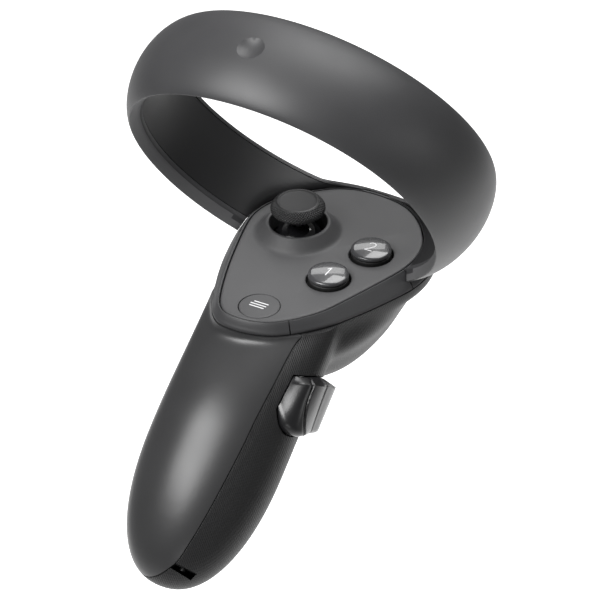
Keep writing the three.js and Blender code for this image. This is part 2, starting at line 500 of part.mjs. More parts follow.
class Helix extends THREE.Curve {
  constructor(r, pitch, turns, start) { super(); Object.assign(this, { r, pitch, turns, start }); }
  getPoint(u, target = new THREE.Vector3()) {
    const a = u * this.turns * TAU + this.start;
    return target.set(this.r * Math.cos(a), this.r * Math.sin(a), this.pitch * this.turns * (u - 0.5));
  }
}
function coil(r, wire, pitch, turns, start = 0) {
  const sh = new THREE.Shape([...Array(5)].map((_, i) => new THREE.Vector2(wire * Math.cos((i * TAU) / 5), wire * Math.sin((i * TAU) / 5))));
  return new THREE.ExtrudeGeometry(sh, { steps: Math.round(turns * 9), extrudePath: new Helix(r, pitch, turns, start), bevelEnabled: false });
}
put(body, "trigger_spring", solid(coil(2.2, 0.38, 1.5, 3).rotateY(Math.PI / 2).translate(0, TRIG.y, TRIG.z)), "steel");

// ---------------------------------------------------------------- grip lever (handle frame: x across, y to the fingers, -z along)
function leverLoop(t) {
  const u = (t - LEVER.t0) / (LEVER.t1 - LEVER.t0);
  const proud = lerp(1.7, 4.3, u);
  const pts = [];
  const a = HANDLE_A, n = 9;
  for (let i = 0; i <= n; i++) {
    const p = rad(lerp(-27, 51, i / n));
    const b = p > 0 ? HANDLE_BF : palmDepth(t);
    const g = smooth((i / n - 0.05) / 0.55) * proud;
    pts.push([(a + g) * Math.cos(p), (b + g) * Math.sin(p), -t]);
  }
  for (let i = n; i >= 0; i--) {
    const p = rad(lerp(-27, 51, i / n));
    const b = p > 0 ? HANDLE_BF : palmDepth(t);
    const d = i < 2 ? 3.6 : 4.6;
    pts.push([(a - d) * Math.cos(p), (b - d) * Math.sin(p), -t]);
  }
  return pts;
}
const handleWorld = new THREE.Matrix4().makeRotationX(-HANDLE_BETA).setPosition(0, HANDLE_Y0, 0);
let lever = solid(loft([0, 0.25, 0.5, 0.75, 1].map((u) => leverLoop(lerp(LEVER.t0, LEVER.t1, u)))));
const zc = (r, x, f, t0, t1, n = 16) => cyl(r, -t1, -t0, x, f, n);
lever = lever.add(zc(2.3, LEVER.x, LEVER.f, LEVER.t0, LEVER.t0 + 4)).add(zc(2.3, LEVER.x, LEVER.f, LEVER.t1 - 4, LEVER.t1)).subtract(zc(1.25, LEVER.x, LEVER.f, 15, 45));
lever = lever.subtract(zc(2.75, LEVER.x, LEVER.f, LEVER.t0 + 4.2, LEVER.t1 - 4.2, 20));
lever = lever.subtract(solid(new THREE.CylinderGeometry(1.9, 1.9, 3, 16).rotateZ(Math.PI / 2).translate(13.6, 5, -29.5)));
put(handle, "grip_lever", largest(lever), "gloss");
put(handle, "grip_magnet", solid(new THREE.CylinderGeometry(1.6, 1.6, 1.6, 16).rotateZ(Math.PI / 2).translate(13.6, 5, -29.5)), "magnet");
put(handle, "grip_pin", zc(1.0, LEVER.x, LEVER.f, LEVER.t0 - 2.4, LEVER.t1 + 2.4), "steel");
put(handle, "grip_spring", solid(coil(1.9, 0.35, 1.5, 3).translate(LEVER.x, LEVER.f, -(LEVER.t0 + LEVER.t1) / 2)), "steel");
put(handle, "grip_sensor_board", box(1.1, 6, 7, 9.9, 5.2, -29.5), "board");

// ---------------------------------------------------------------- handle frame, cell and contacts
const CELL = { r: 7.25, t0: 30.4, t1: 80.9, f: -1.6, x: -1.0 };
const innerHandle = solid(loft(HT.slice(0, -3).map((t) => handleLoop(t, -2.7)).concat([handleLoop(86.0, -3.0)])).applyMatrix4(handleWorld.clone().invert()));
let frame = box(23, 14.6, 60, -1, -1.0, -(26 + 30)).intersect(innerHandle);
frame = frame.subtract(zc(CELL.r + 0.35, CELL.x, CELL.f, 28.6, 83.8, 28)).subtract(box(2 * CELL.r + 0.7, 20, 55.2, CELL.x, CELL.f - 10, -(28.6 + 27.6)));
// the left wall is lower, under the cover's catch
frame = frame.subtract(box(6, 8, 70, -11.65, -9.7, -56)).subtract(solid(new THREE.CylinderGeometry(1.9, 1.9, 2.6, 16).translate(-10.2, -5.0, -32)));
// the strap post stands in the frame's end
frame = frame.subtract(zc(1.3, 6.2, -3.0, 80, 92, 14));
// room for the grip lever and its pin
frame = frame.subtract(box(12, 30, 24, 14.6, 3, -29.5)).subtract(zc(3.4, LEVER.x, LEVER.f, 15, 42));
for (const [x, t] of FRAME_SCREWS) frame = frame.subtract(solid(new THREE.CylinderGeometry(1.3, 1.3, 20, 16).translate(x, 0, -t))).subtract(solid(new THREE.CylinderGeometry(2.2, 2.2, 6, 16).translate(x, 2.2, -t)));
put(handle, "handle_frame", largest(frame), "frame");
put(handle, "cover_magnet", solid(new THREE.CylinderGeometry(1.6, 1.6, 1.8, 16).translate(-10.2, -5.0, -32)), "magnet");
put(handle, "cover_catch_plate", box(3.4, 0.6, 6, -10.6, -7.0, -32), "steel");
put(handle, "strap_post", zc(0.9, 6.2, -3.0, 82.4, 86.8, 14), "steel");
put(handle, "battery_cell", zc(CELL.r, CELL.x, CELL.f, CELL.t0, CELL.t1, 32), "cell");
put(handle, "contact_positive", box(8, 7, 0.5, CELL.x, CELL.f, -29.4), "steel");
put(handle, "contact_negative_spring", solid(coil(3.2, 0.4, 0.95, 2).translate(CELL.x, CELL.f, -82.4)), "steel");
put(handle, "vibration_motor", solid(new THREE.CylinderGeometry(4.0, 4.0, 12.4, 20).rotateZ(Math.PI / 2).translate(0, 11.0, -53)), "steel");
FRAME_SCREWS.forEach(([x, t], i) => {
  const g = new THREE.LatheGeometry([[0, 0.2], [1.7, 0.2], [1.9, 0.5], [1.9, 1.4], [0.85, 1.4], [0.85, 10.2], [0, 10.2]].map((p) => new THREE.Vector2(p[0], p[1])), 14);
  let m = solid(g);
  if (m.volume() < 0) m = solid(new THREE.LatheGeometry([[0, 0.2], [1.7, 0.2], [1.9, 0.5], [1.9, 1.4], [0.85, 1.4], [0.85, 10.2], [0, 10.2]].reverse().map((p) => new THREE.Vector2(p[0], p[1])), 14));
  put(handle, "frame_screw_" + (i + 1), m.translate([x, 3.6, -t]), "steel");
});

export default root;
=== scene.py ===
"""Looks of a left-hand motion controller: face plate with thumbstick and buttons, handle, tracking ring."""

import math

import bpy
import numpy as np
from mathutils import Matrix, Vector


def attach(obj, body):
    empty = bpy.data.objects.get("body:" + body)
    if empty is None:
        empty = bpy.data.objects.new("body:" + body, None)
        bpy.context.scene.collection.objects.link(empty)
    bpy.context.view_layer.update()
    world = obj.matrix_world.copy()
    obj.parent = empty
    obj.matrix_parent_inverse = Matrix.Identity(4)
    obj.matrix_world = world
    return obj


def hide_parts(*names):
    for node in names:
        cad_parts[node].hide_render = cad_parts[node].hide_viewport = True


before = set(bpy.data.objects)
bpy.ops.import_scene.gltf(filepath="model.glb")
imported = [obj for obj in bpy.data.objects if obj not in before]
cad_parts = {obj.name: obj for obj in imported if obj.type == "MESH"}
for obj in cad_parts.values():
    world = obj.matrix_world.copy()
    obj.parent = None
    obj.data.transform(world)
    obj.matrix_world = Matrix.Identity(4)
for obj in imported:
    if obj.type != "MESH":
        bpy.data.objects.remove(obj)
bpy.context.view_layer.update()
TAU = 2 * math.pi


# ------------------------------------------------------------------ helpers, millimetres in the plate's frame
def clamp(v, a, b):
    return np.minimum(b, np.maximum(a, v))


def smooth(s):
    s = clamp(s, 0.0, 1.0)
    return s * s * (3 - 2 * s)


def lerp(a, b, s):
    return a + (b - a) * s


def mesh_object(name, verts, faces, angle=32.0, mats=(), face_mat=None):
    """A mesh object from points in mm in the plate's frame."""
    v = np.asarray(verts, float)
    v = (v + np.array([0.0, 57.0, 25.0])) / 1000.0
    me = bpy.data.meshes.new(name)
    me.from_pydata(v.tolist(), [], faces)
    me.update()
    ob = bpy.data.objects.new(name, me)
    bpy.context.scene.collection.objects.link(ob)
    for m in mats:
        me.materials.append(m)
    if face_mat is not None:
        me.polygons.foreach_set("material_index", np.asarray(face_mat, np.int32))
    shade(ob, angle)
    return ob


def shade(ob, angle):
    me = ob.data
    me.polygons.foreach_set("use_smooth", [True] * len(me.polygons))
    me.set_sharp_from_angle(angle=math.radians(angle))
    me.update()


def grid_faces(rows, n, closed_rows=False, closed_cols=True, flip=False):
    faces = []
    last = rows if closed_rows else rows - 1
    for r in range(last):
        a, b = r * n, ((r + 1) % rows) * n
        for i in range(n if closed_cols else n - 1):
            j = (i + 1) % n
            q = (a + i, a + j, b + j, b + i)
            faces.append(q[::-1] if flip else q)
    return faces


def signed_volume(v, faces):
    v = np.asarray(v, float)
    total = 0.0
    for f in faces:
        for k in range(1, len(f) - 1):
            total += float(np.dot(v[f[0]], np.cross(v[f[k]], v[f[k + 1]])))
    return total / 6


def loft(loops, closed=False):
    """(verts, faces) of the closed solid through loops of equal length."""
    loops = [np.asarray(l, float) for l in loops]
    n = len(loops[0])
    v = np.concatenate(loops)
    faces = grid_faces(len(loops), n, closed)
    if not closed:
        c0, c1 = loops[0].mean(0), loops[-1].mean(0)
        v = np.concatenate([v, [c0, c1]])
        k0, k1 = len(v) - 2, len(v) - 1
        base = (len(loops) - 1) * n
        for i in range(n):
            j = (i + 1) % n
            faces.append((k0, j, i))
            faces.append((k1, base + i, base + j))
    if signed_volume(v, faces) < 0:
        faces = [f[::-1] for f in faces]
    return v, faces


def lathe(points, x=0.0, y=0.0, z=0.0, n=96, axis="z"):
    """(verts, faces) of a closed profile turned about the vertical through (x, y). Points on the axis are shared."""
    pts = [tuple(p) for p in points]
    verts, ids = [], []
    for r, h in pts:
        if r < 1e-9:
            ids.append([len(verts)] * n)
            verts.append((x, y, z + h))
        else:
            ids.append(list(range(len(verts), len(verts) + n)))
            for k in range(n):
                a = TAU * k / n
                verts.append((x + r * math.cos(a), y + r * math.sin(a), z + h))
    faces = []
    m = len(pts)
    for s in range(m):
        a, b = ids[s], ids[(s + 1) % m]
        ra, rb = pts[s][0], pts[(s + 1) % m][0]
        if ra < 1e-9 and rb < 1e-9:
            continue
        for k in range(n):
            j = (k + 1) % n
            if ra < 1e-9:
                faces.append((a[k], b[j], b[k]))
            elif rb < 1e-9:
                faces.append((a[k], a[j], b[k]))
            else:
                faces.append((a[k], a[j], b[j], b[k]))
    v = np.array(verts)
    if signed_volume(v, faces) < 0:
        faces = [f[::-1] for f in faces]
    return v, faces


def temp(data, name="tmp"):
    return mesh_object(name, data[0], data[1])


def drop(ob):
    me = ob.data
    bpy.data.objects.remove(ob)
    if me.users == 0:
        bpy.data.meshes.remove(me)


def settle(ob):
    """Applies an object's modifiers."""
    dg = bpy.context.evaluated_depsgraph_get()
    dg.update()
    me = bpy.data.meshes.new_from_object(ob.evaluated_get(dg))
    old = ob.data
    ob.modifiers.clear()
    ob.data = me
    if old.users == 0:
        bpy.data.meshes.remove(old)
    return ob


def boolean(ob, cutter, op="DIFFERENCE", keep=False):
    """Cuts ob by a (verts, faces) solid or an object."""
    cut = cutter if isinstance(cutter, bpy.types.Object) else temp(cutter, "cut")
    before = len(ob.data.polygons)
    for solver in ("MANIFOLD", "EXACT"):
        m = ob.modifiers.new("b", "BOOLEAN")
        m.operation = op
        m.solver = solver
        m.object = cut
        dg = bpy.context.evaluated_depsgraph_get()
        dg.update()
        me = bpy.data.meshes.new_from_object(ob.evaluated_get(dg))
        ob.modifiers.clear()
        changed = len(me.polygons) and not (
            len(me.polygons) == before and op != "INTERSECT"
        )
        if changed or solver == "EXACT":
            ob.data = me
            break
        bpy.data.meshes.remove(me)
    if not keep:
        drop(cut)
    return ob


def remesh(ob, voxel, iterations, factor=0.5):
    m = ob.modifiers.new("r", "REMESH")
    m.mode = "VOXEL"
    m.voxel_size = voxel / 1000
    m.adaptivity = 0
    s = ob.modifiers.new("s", "SMOOTH")
    s.factor = factor
    s.iterations = iterations
    return settle(ob)


def join(name, datas):
    v, f, at = [], [], 0
    for dv, df in datas:
        v.append(np.asarray(dv, float))
        f += [tuple(i + at for i in q) for q in df]
        at += len(dv)
    return np.concatenate(v), f


def largest(ob):
    """Keeps the biggest connected piece of a mesh."""
    me = ob.data
    n = len(me.vertices)
    parent = np.arange(n)
    e = np.zeros(len(me.edges) * 2, np.int64)
    me.edges.foreach_get("vertices", e)
    e = e.reshape(-1, 2)
    for _ in range(200):
        lo = np.minimum(parent[e[:, 0]], parent[e[:, 1]])
        new = parent.copy()
        np.minimum.at(new, e[:, 0], lo)
        np.minimum.at(new, e[:, 1], lo)
        new = new[new]
        if (new == parent).all():
            break
        parent = new
    for _ in range(60):
        nxt = parent[parent]
        if (nxt == parent).all():
            break
        parent = nxt
    ids, counts = np.unique(parent, return_counts=True)
    if len(ids) == 1:
        return ob
    keep = parent == ids[counts.argmax()]
    import bmesh

    bm = bmesh.new()
    bm.from_mesh(me)
    bm.verts.ensure_lookup_table()
    bmesh.ops.delete(
        bm, geom=[v for v in bm.verts if not keep[v.index]], context="VERTS"
    )
    bm.to_mesh(me)
    bm.free()
    return ob


# ------------------------------------------------------------------ shapes shared with the frame
OUTLINE = np.array([
    [-3.7, -45.0], [0.9, -44.5], [5.6, -42.7], [9.5, -39.5], [12.9, -35.4], [15.9, -30.6],
    [19.0, -22.5], [22.3, -12.9], [24.5, -6.2], [25.8, -0.7], [26.0, 5.3], [24.8, 10.8],
    [22.4, 15.4], [18.6, 20.3], [12.7, 25.1], [5.5, 27.4], [-4.2, 27.6], [-10.7, 25.4],
    [-16.0, 21.4], [-21.0, 15.6], [-24.6, 10.0], [-26.0, 4.3], [-25.9, 0], [-24.9, -4.8],
    [-22.5, -13.3], [-19.4, -23.2], [-15.6, -33.4], [-12.9, -39.4], [-11.2, -42.0], [-8.6, -44.2],
])
OUT_C = np.array([-0.6, -9.0])


def spline_points(P, count):
    l = len(P)
    out = []
    for q in range(count + 1):
        p = l * q / count
        i = int(math.floor(p))
        w = p - i
        p0, p1, p2, p3 = P[(i - 1) % l], P[i % l], P[(i + 1) % l], P[(i + 2) % l]
        d0 = np.linalg.norm(p1 - p0) ** 0.5
        d1 = np.linalg.norm(p2 - p1) ** 0.5
        d2 = np.linalg.norm(p3 - p2) ** 0.5
        t1 = ((p1 - p0) / d0 - (p2 - p0) / (d0 + d1) + (p2 - p1) / d1) * d1
        t2 = ((p2 - p1) / d1 - (p3 - p1) / (d1 + d2) + (p3 - p2) / d2) * d1
        out.append(
            p1 + t1 * w + (-3 * p1 + 3 * p2 - 2 * t1 - t2) * w**2 + (2 * p1 - 2 * p2 + t1 + t2) * w**3
        )
    return np.array(out)


_f = spline_points(OUTLINE, 1440)[:-1] - OUT_C
_o = np.argsort(np.arctan2(_f[:, 1], _f[:, 0]))
_PA, _PR = np.arctan2(_f[:, 1], _f[:, 0])[_o], np.hypot(_f[:, 0], _f[:, 1])[_o]


def outline_at(t):
    t = np.asarray(t, float)
    r = np.interp(t, _PA, _PR, period=TAU)
    return np.stack([OUT_C[0] + r * np.cos(t), OUT_C[1] + r * np.sin(t)], -1)


def outline_normal(t):
    d = outline_at(np.asarray(t) + 0.06) - outline_at(np.asarray(t) - 0.06)
    d /= np.linalg.norm(d, axis=-1, keepdims=True)
    return np.stack([d[:, 1], -d[:, 0]], -1)


NTH = 256
TH = np.arange(NTH) / NTH * TAU


def outline_loop(off, z, th=None):
    th = TH if th is None else th
    p, m = outline_at(th), outline_normal(th)
    o = off(p[:, 1]) if callable(off) else np.full(len(th), float(off))
    zz = z(p[:, 1]) if callable(z) else np.full(len(th), float(z))
    q = p + m * o[:, None]
    return np.column_stack([q, zz])


def collar_out(y):
    return 2.3 + 1.5 * smooth((y + 45) / 32)


def collar_z(y):
    return -3.2 - 2.3 * clamp((y + 47) / 45, 0, 1)


BETA = math.radians(51.75)
Y0 = -25.64
H = np.array([0, -math.sin(BETA), -math.cos(BETA)])
F = np.array([0, math.cos(BETA), -math.sin(BETA)])
A, BF, BB, STRAIGHT, END, EXP = 20.3, 18.6, 15.5, 49.7, 92.3, 2.27


def hp(t, x, f):
    t, x, f = np.broadcast_arrays(np.asarray(t, float), np.asarray(x, float), np.asarray(f, float))
    return np.stack([x, Y0 + t * H[1] + f * F[1], t * H[2] + f * F[2]], -1)


def palm_depth(t):
    return BB - 10.5 * (1 - smooth((t + 2) / 50))


def handle_k(t):
    s = clamp((np.asarray(t, float) - STRAIGHT) / (END - STRAIGHT), 0, 1)
    return np.power(np.maximum(0, 1 - np.power(s, EXP)), 1 / EXP)


def handle_loop(t, o=0.0, th=None):
    th = TH if th is None else th
    k = float(handle_k(t))
    c, s = np.cos(th), np.sin(th)
    a = k * A
    b = np.where(s > 0, k * BF, k * float(palm_depth(t)))
    nx, nf = c / a, s / b
    l = np.hypot(nx, nf)
    return hp(t, a * c + nx / l * o, b * s + nf / l * o)


def handle_data(o=0.0, step=2.0):
    ts = list(np.arange(8, STRAIGHT, step))
    top = 0.9992 if o >= 0 else 0.93
    for q in np.linspace(0, 1, 26):
        s = math.sin(q * math.pi / 2) ** (2 / EXP) * top
        ts.append(STRAIGHT + (END - STRAIGHT) * s)
    ts = sorted(set(round(float(t), 4) for t in ts))
    loops = [handle_loop(t, o if o < 0 else o * min(1.0, float(handle_k(t)) * 3)) for t in ts]
    return loft(loops)


HEAD = [
    [-13, 25.2, -42, 28.5],
    [-20, 21.4, -37, 25.5],
    [-27, 17.6, -31, 20.0],
    [-31.6, 13.6, -25, 13.6],
    [-34.5, 9.4, -19, 7.4],
]


def head_loop(row, o):
    z, w, ya, yb = row
    yc = (ya + yb) / 2 + 3
    rf, rb = yb - yc, yc - ya
    c, s = np.cos(TH), np.sin(TH)
    e = 2 / 2.35
    x = (w + o) * np.sign(c) * np.abs(c) ** e
    y = yc + (np.where(s > 0, rf, rb) + o) * np.sign(s) * np.abs(s) ** e
    return np.column_stack([x, y, np.full(len(TH), float(z))])


def through(loops, sub):
    """Loops on a smooth curve through the given ones, point by point."""
    L = np.array(loops)
    out = []
    n = len(L)
    for i in range(n - 1):
        p0 = L[i - 1] if i else 2 * L[0] - L[1]
        p1, p2 = L[i], L[i + 1]
        p3 = L[i + 2] if i + 2 < n else 2 * L[-1] - L[-2]
        d0 = np.maximum(1e-3, np.linalg.norm(p1 - p0, axis=1, keepdims=True)) ** 0.5
        d1 = np.maximum(1e-3, np.linalg.norm(p2 - p1, axis=1, keepdims=True)) ** 0.5
        d2 = np.maximum(1e-3, np.linalg.norm(p3 - p2, axis=1, keepdims=True)) ** 0.5
        t1 = ((p1 - p0) / d0 - (p2 - p0) / (d0 + d1) + (p2 - p1) / d1) * d1
        t2 = ((p2 - p1) / d1 - (p3 - p1) / (d1 + d2) + (p3 - p2) / d2) * d1
        for k in range(sub):
            w = k / sub
            out.append(p1 + t1 * w + (-3 * p1 + 3 * p2 - 2 * t1 - t2) * w**2 + (2 * p1 - 2 * p2 + t1 + t2) * w**3)
    out.append(L[-1])
    return out


def head_data(o=0.0, top=0.0, sub=5, lift=0.0):
    loops = [
        outline_loop(lambda y: collar_out(y) + o, lambda y: collar_z(y) - 0.3 + top),
        outline_loop(lambda y: collar_out(y) + o - 0.3, lambda y: collar_z(y) - 3.2),
    ]
    if top > 0:
        loops.insert(1, outline_loop(lambda y: collar_out(y) + o, lambda y: collar_z(y) - 0.3))
    loops += [head_loop(r, o) for r in HEAD]
    l = HEAD[-1]
    loops.append(head_loop([l[0] - 1.4 - o, l[1] - 3.2, l[2] + 4, l[3] - 3.5], o))
    return loft(through(loops, sub))


# ------------------------------------------------------------------ materials
def principled(name, color, rough, **kw):
    m = bpy.data.materials.new(name)
    m.use_nodes = True
    nt = m.node_tree
    b = nt.nodes["Principled BSDF"]
    b.inputs["Base Color"].default_value = (*color, 1)
    b.inputs["Roughness"].default_value = rough
    for k, v in kw.items():
        b.inputs[k.replace("_", " ")].default_value = v
    return m, nt, b


def coords(nt):
    return nt.nodes.new("ShaderNodeTexCoord").outputs["Object"]


def noise(nt, vec, scale, detail=2.0, rough=0.5):
    n = nt.nodes.new("ShaderNodeTexNoise")
    n.inputs["Scale"].default_value = scale
    n.inputs["Detail"].default_value = detail
    n.inputs["Roughness"].default_value = rough
    nt.links.new(vec, n.inputs["Vector"])
    return n


def ramp(nt, fac, stops):
    r = nt.nodes.new("ShaderNodeValToRGB")
    e = r.color_ramp.elements
    while len(e) < len(stops):
        e.new(0.5)
    for k, (p, c) in enumerate(stops):
        e[k].position = p
        e[k].color = (*c, 1) if len(c) == 3 else c
    nt.links.new(fac, r.inputs["Fac"])
    return r


def remap(nt, fac, a, b, c, d):
    r = nt.nodes.new("ShaderNodeMapRange")
    r.inputs["From Min"].default_value = a
    r.inputs["From Max"].default_value = b
    r.inputs["To Min"].default_value = c
    r.inputs["To Max"].default_value = d
    nt.links.new(fac, r.inputs["Value"])
    return r.outputs["Result"]


def bump(nt, height, strength, distance, b, chain=None):
    n = nt.nodes.new("ShaderNodeBump")
    n.inputs["Strength"].default_value = strength
    n.inputs["Distance"].default_value = distance
    nt.links.new(height, n.inputs["Height"])
    if chain is not None:
        nt.links.new(chain, n.inputs["Normal"])
    nt.links.new(n.outputs["Normal"], b.inputs["Normal"])
    return n


def vary(nt, b, color, spread, vec, scale=60.0):
    """Base colour with slight, slow variation."""
    n = noise(nt, vec, scale, 3.0)
    lo = tuple(max(0, c * (1 - spread)) for c in color)
    hi = tuple(c * (1 + spread) for c in color)
    r = ramp(nt, n.outputs["Fac"], [(0.3, lo), (0.7, hi)])
    nt.links.new(r.outputs["Color"], b.inputs["Base Color"])
    return n


def plastic(name, color, rough, grain=0.08, grain_scale=2600.0, spread=0.06, **kw):
    """Moulded plastic with a fine spark-eroded grain."""
    m, nt, b = principled(name, color, rough, **kw)
    vec = coords(nt)
    vary(nt, b, color, spread, vec)
    g = noise(nt, vec, grain_scale, 2.0)
    bump(nt, g.outputs["Fac"], grain, 0.0002, b)
    r = noise(nt, vec, 45.0, 4.0)
    nt.links.new(remap(nt, r.outputs["Fac"], 0.3, 0.7, rough - 0.03, rough + 0.03), b.inputs["Roughness"])
    return m


def metal(name, color, rough):
    m, nt, b = principled(name, color, rough, Metallic=1.0)
    vec = coords(nt)
    n = noise(nt, vec, 900.0, 3.0)
    nt.links.new(remap(nt, n.outputs["Fac"], 0.3, 0.7, rough - 0.06, rough + 0.08), b.inputs["Roughness"])
    bump(nt, n.outputs["Fac"], 0.05, 0.0001, b)
    return m


def ribbed(name, color, rough):
    """The handle's skin: fine slanted ridges that fade out towards the trigger."""
    m, nt, b = principled(name, color, rough, Specular_IOR_Level=0.4)
    vec = coords(nt)
    vary(nt, b, color, 0.08, vec, 40.0)
    waves = []
    for direction, pitch in (((0.72, 0.64, 0.27), 0.00056), ((0.25, -0.55, 0.8), 0.0009)):
        dot = nt.nodes.new("ShaderNodeVectorMath")
        dot.operation = "DOT_PRODUCT"
        nt.links.new(vec, dot.inputs[0])
        l = math.sqrt(sum(q * q for q in direction))
        dot.inputs[1].default_value = tuple(q / l * TAU / pitch for q in direction)
        sine = nt.nodes.new("ShaderNodeMath")
        sine.operation = "SINE"
        nt.links.new(dot.outputs["Value"], sine.inputs[0])
        waves.append(sine)
    mix = nt.nodes.new("ShaderNodeMath")
    mix.operation = "MULTIPLY_ADD"
    nt.links.new(waves[1].outputs[0], mix.inputs[0])
    mix.inputs[1].default_value = 0.3
    nt.links.new(waves[0].outputs[0], mix.inputs[2])
    sep = nt.nodes.new("ShaderNodeSeparateXYZ")
    nt.links.new(vec, sep.inputs["Vector"])
    # the ridges end where the head turns down to the trigger
    m1 = remap(nt, sep.outputs["Y"], 0.062, 0.034, 0.0, 1.0)
    mul = nt.nodes.new("ShaderNodeMath")
    mul.operation = "MULTIPLY"
    nt.links.new(mix.outputs[0], mul.inputs[0])
    nt.links.new(m1, mul.inputs[1])
    bump(nt, mul.outputs[0], 0.5, 0.00008, b)
    return m


MAT = {
    "housing_plastic": plastic("housing_plastic", (0.042, 0.042, 0.044), 0.46),
    "cover_plastic": plastic("cover_plastic", (0.034, 0.034, 0.035), 0.36, grain=0.05),
    "plate_plastic": plastic("plate_plastic", (0.062, 0.062, 0.064), 0.55, grain=0.10),
    # painted light: a paler copy of the housing plastic, used only on the lit chamfer of the ring's back rim
    "rim_painted_light": plastic("rim_painted_light", (0.13, 0.13, 0.133), 0.55),
    "liner_plastic": plastic("liner_plastic", (0.010, 0.010, 0.011), 0.5, grain=0.05),
    "textured_grip": ribbed("textured_grip", (0.011, 0.011, 0.0115), 0.52),
    "gloss_black": plastic("gloss_black", (0.008, 0.008, 0.009), 0.12, grain=0.0, Coat_Weight=0.6, Coat_Roughness=0.05),
    "lever_plastic": plastic("lever_plastic", (0.010, 0.010, 0.011), 0.33, grain=0.0, Coat_Weight=0.3, Coat_Roughness=0.22),
    "button_cap": plastic("button_cap", (0.05, 0.05, 0.053), 0.24, grain=0.0, Coat_Weight=1.0, Coat_Roughness=0.03),
    "black_plastic": plastic("black_plastic", (0.012, 0.012, 0.012), 0.5),
    "stick_rubber": plastic("stick_rubber", (0.030, 0.030, 0.031), 0.62, grain=0.12),
    "stick_knurl": plastic("stick_knurl", (0.020, 0.020, 0.021), 0.42, grain=0.05),
    "inner_frame": plastic("inner_frame", (0.02, 0.02, 0.022), 0.6),
    "circuit_board": plastic("circuit_board", (0.01, 0.08, 0.04), 0.35, grain_scale=900, spread=0.2),
    "flex_circuit": plastic("flex_circuit", (0.35, 0.18, 0.04), 0.35, grain_scale=600, spread=0.12),
    "steel": metal("steel", (0.6, 0.61, 0.63), 0.3),
    "magnet_metal": metal("magnet_metal", (0.55, 0.56, 0.58), 0.22),
    "cell_jacket": plastic("cell_jacket", (0.12, 0.13, 0.14), 0.3, grain=0.03),
    "mat_rubber": plastic("mat_rubber", (0.2, 0.2, 0.2), 0.6),
    "mark_paint": plastic("mark_paint", (0.75, 0.75, 0.76), 0.6, grain=0.02),
}

NODE_SLOT = {
    "main_board": "circuit_board", "button_mat": "mat_rubber", "stick_housing": "black_plastic",
    "stick_gimbal_frame": "steel", "stick_pivot_block": "black_plastic", "stick_shaft": "steel",
    "trigger_pin": "steel", "trigger_bracket": "steel", "trigger_sensor_board": "circuit_board",
    "trigger_spring": "steel", "trigger_magnet": "magnet_metal", "grip_magnet": "magnet_metal",
    "grip_pin": "steel", "grip_spring": "steel", "grip_sensor_board": "circuit_board",
    "handle_frame": "inner_frame", "cover_magnet": "magnet_metal", "cover_catch_plate": "steel",
    "strap_post": "black_plastic", "battery_cell": "cell_jacket", "contact_positive": "steel",
    "contact_negative_spring": "steel", "vibration_motor": "steel", "ring_light_strip": "flex_circuit",
    "button_1_plunger": "black_plastic", "button_2_plunger": "black_plastic",
}
for name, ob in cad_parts.items():
    want = MAT[NODE_SLOT.get(name, "steel" if "screw" in name else "black_plastic")]
    if not ob.data.materials:
        ob.data.materials.append(want)
    for slot in ob.material_slots:
        slot.material = want


def place(ob, body, replaces=(), mat=None):
    if mat is not None:
        ob.data.materials.clear()
        ob.data.materials.append(MAT[mat])
    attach(ob, body)
    if replaces:
        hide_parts(*replaces)
    return ob


# ------------------------------------------------------------------ face plate
STICK = (-10.0, 0.0)
PZ = -4.6
BUTTONS = {"button_1": (9.4, -17.0), "button_2": (14.1, -0.3)}
MENU = (-1.2, -37.7)
SCREWS = [(-16, -17), (17.5, 12.5), (-15.5, 15.5), (5.5, -27)]

plate = temp(loft([
    outline_loop(0, -2.0), outline_loop(0, -0.62), outline_loop(-0.04, -0.38), outline_loop(-0.16, -0.17),
    outline_loop(-0.36, -0.04), outline_loop(-0.62, 0), outline_loop(-1.6, 0),
]), "plate")
rim = [
    (8.4, -1.5), (13.9, -1.5), (13.9, -0.05), (13.6, 0.0), (13.2, 0.03), (12.75, 0.13), (12.35, 0.32), (12.0, 0.6),
    (11.6, 1.02), (11.1, 1.62), (10.5, 2.36), (10.0, 2.94), (9.72, 3.26), (9.52, 3.48), (9.36, 3.62), (9.14, 3.7),
    (8.8, 3.7), (8.58, 3.64), (8.44, 3.5), (8.4, 3.3),
]
boolean(plate, lathe(rim, *STICK, n=160), "UNION")
boolean(plate, lathe([(0, -5), (8.4, -5), (8.4, 3), (0, 3)], *STICK, n=160))
for x, y in BUTTONS.values():
    boolean(plate, lathe([(0, -5), (6.45, -5), (6.45, -0.34), (6.5, -0.16), (6.63, -0.04), (6.85, 0.02), (6.85, 2), (0, 2)], x, y, n=128))
boolean(plate, lathe([(0, -5), (6.0, -5), (6.0, -0.16), (6.05, -0.05), (6.14, 0.02), (6.14, 2), (0, 2)], MENU[0], MENU[1] - 0.1, n=128))
for x, y in SCREWS:
    boolean(plate, lathe([(0, -6.3), (2.3, -6.3), (2.3, -1.5), (0, -1.5)], x, y, n=32), "UNION")
    boolean(plate, lathe([(0, -7), (1.15, -7), (1.15, -1.4), (0, -1.4)], x, y, n=24))
plate.name = "plate_top"
shade(plate, 28)
place(plate, "housing", ["face_plate"], "plate_plastic")

# ------------------------------------------------------------------ collar round the plate, in three pieces
SEAM_DIR = math.atan2(-41.0 - OUT_C[1], 9.6 - OUT_C[0])
LEFT_ROOT = math.atan2(-6.6 - OUT_C[1], -25 - OUT_C[0])
RIGHT_ROOT = math.atan2(-2.4 - OUT_C[1], 26 - OUT_C[0])
GAP_A = 0.15 / 34


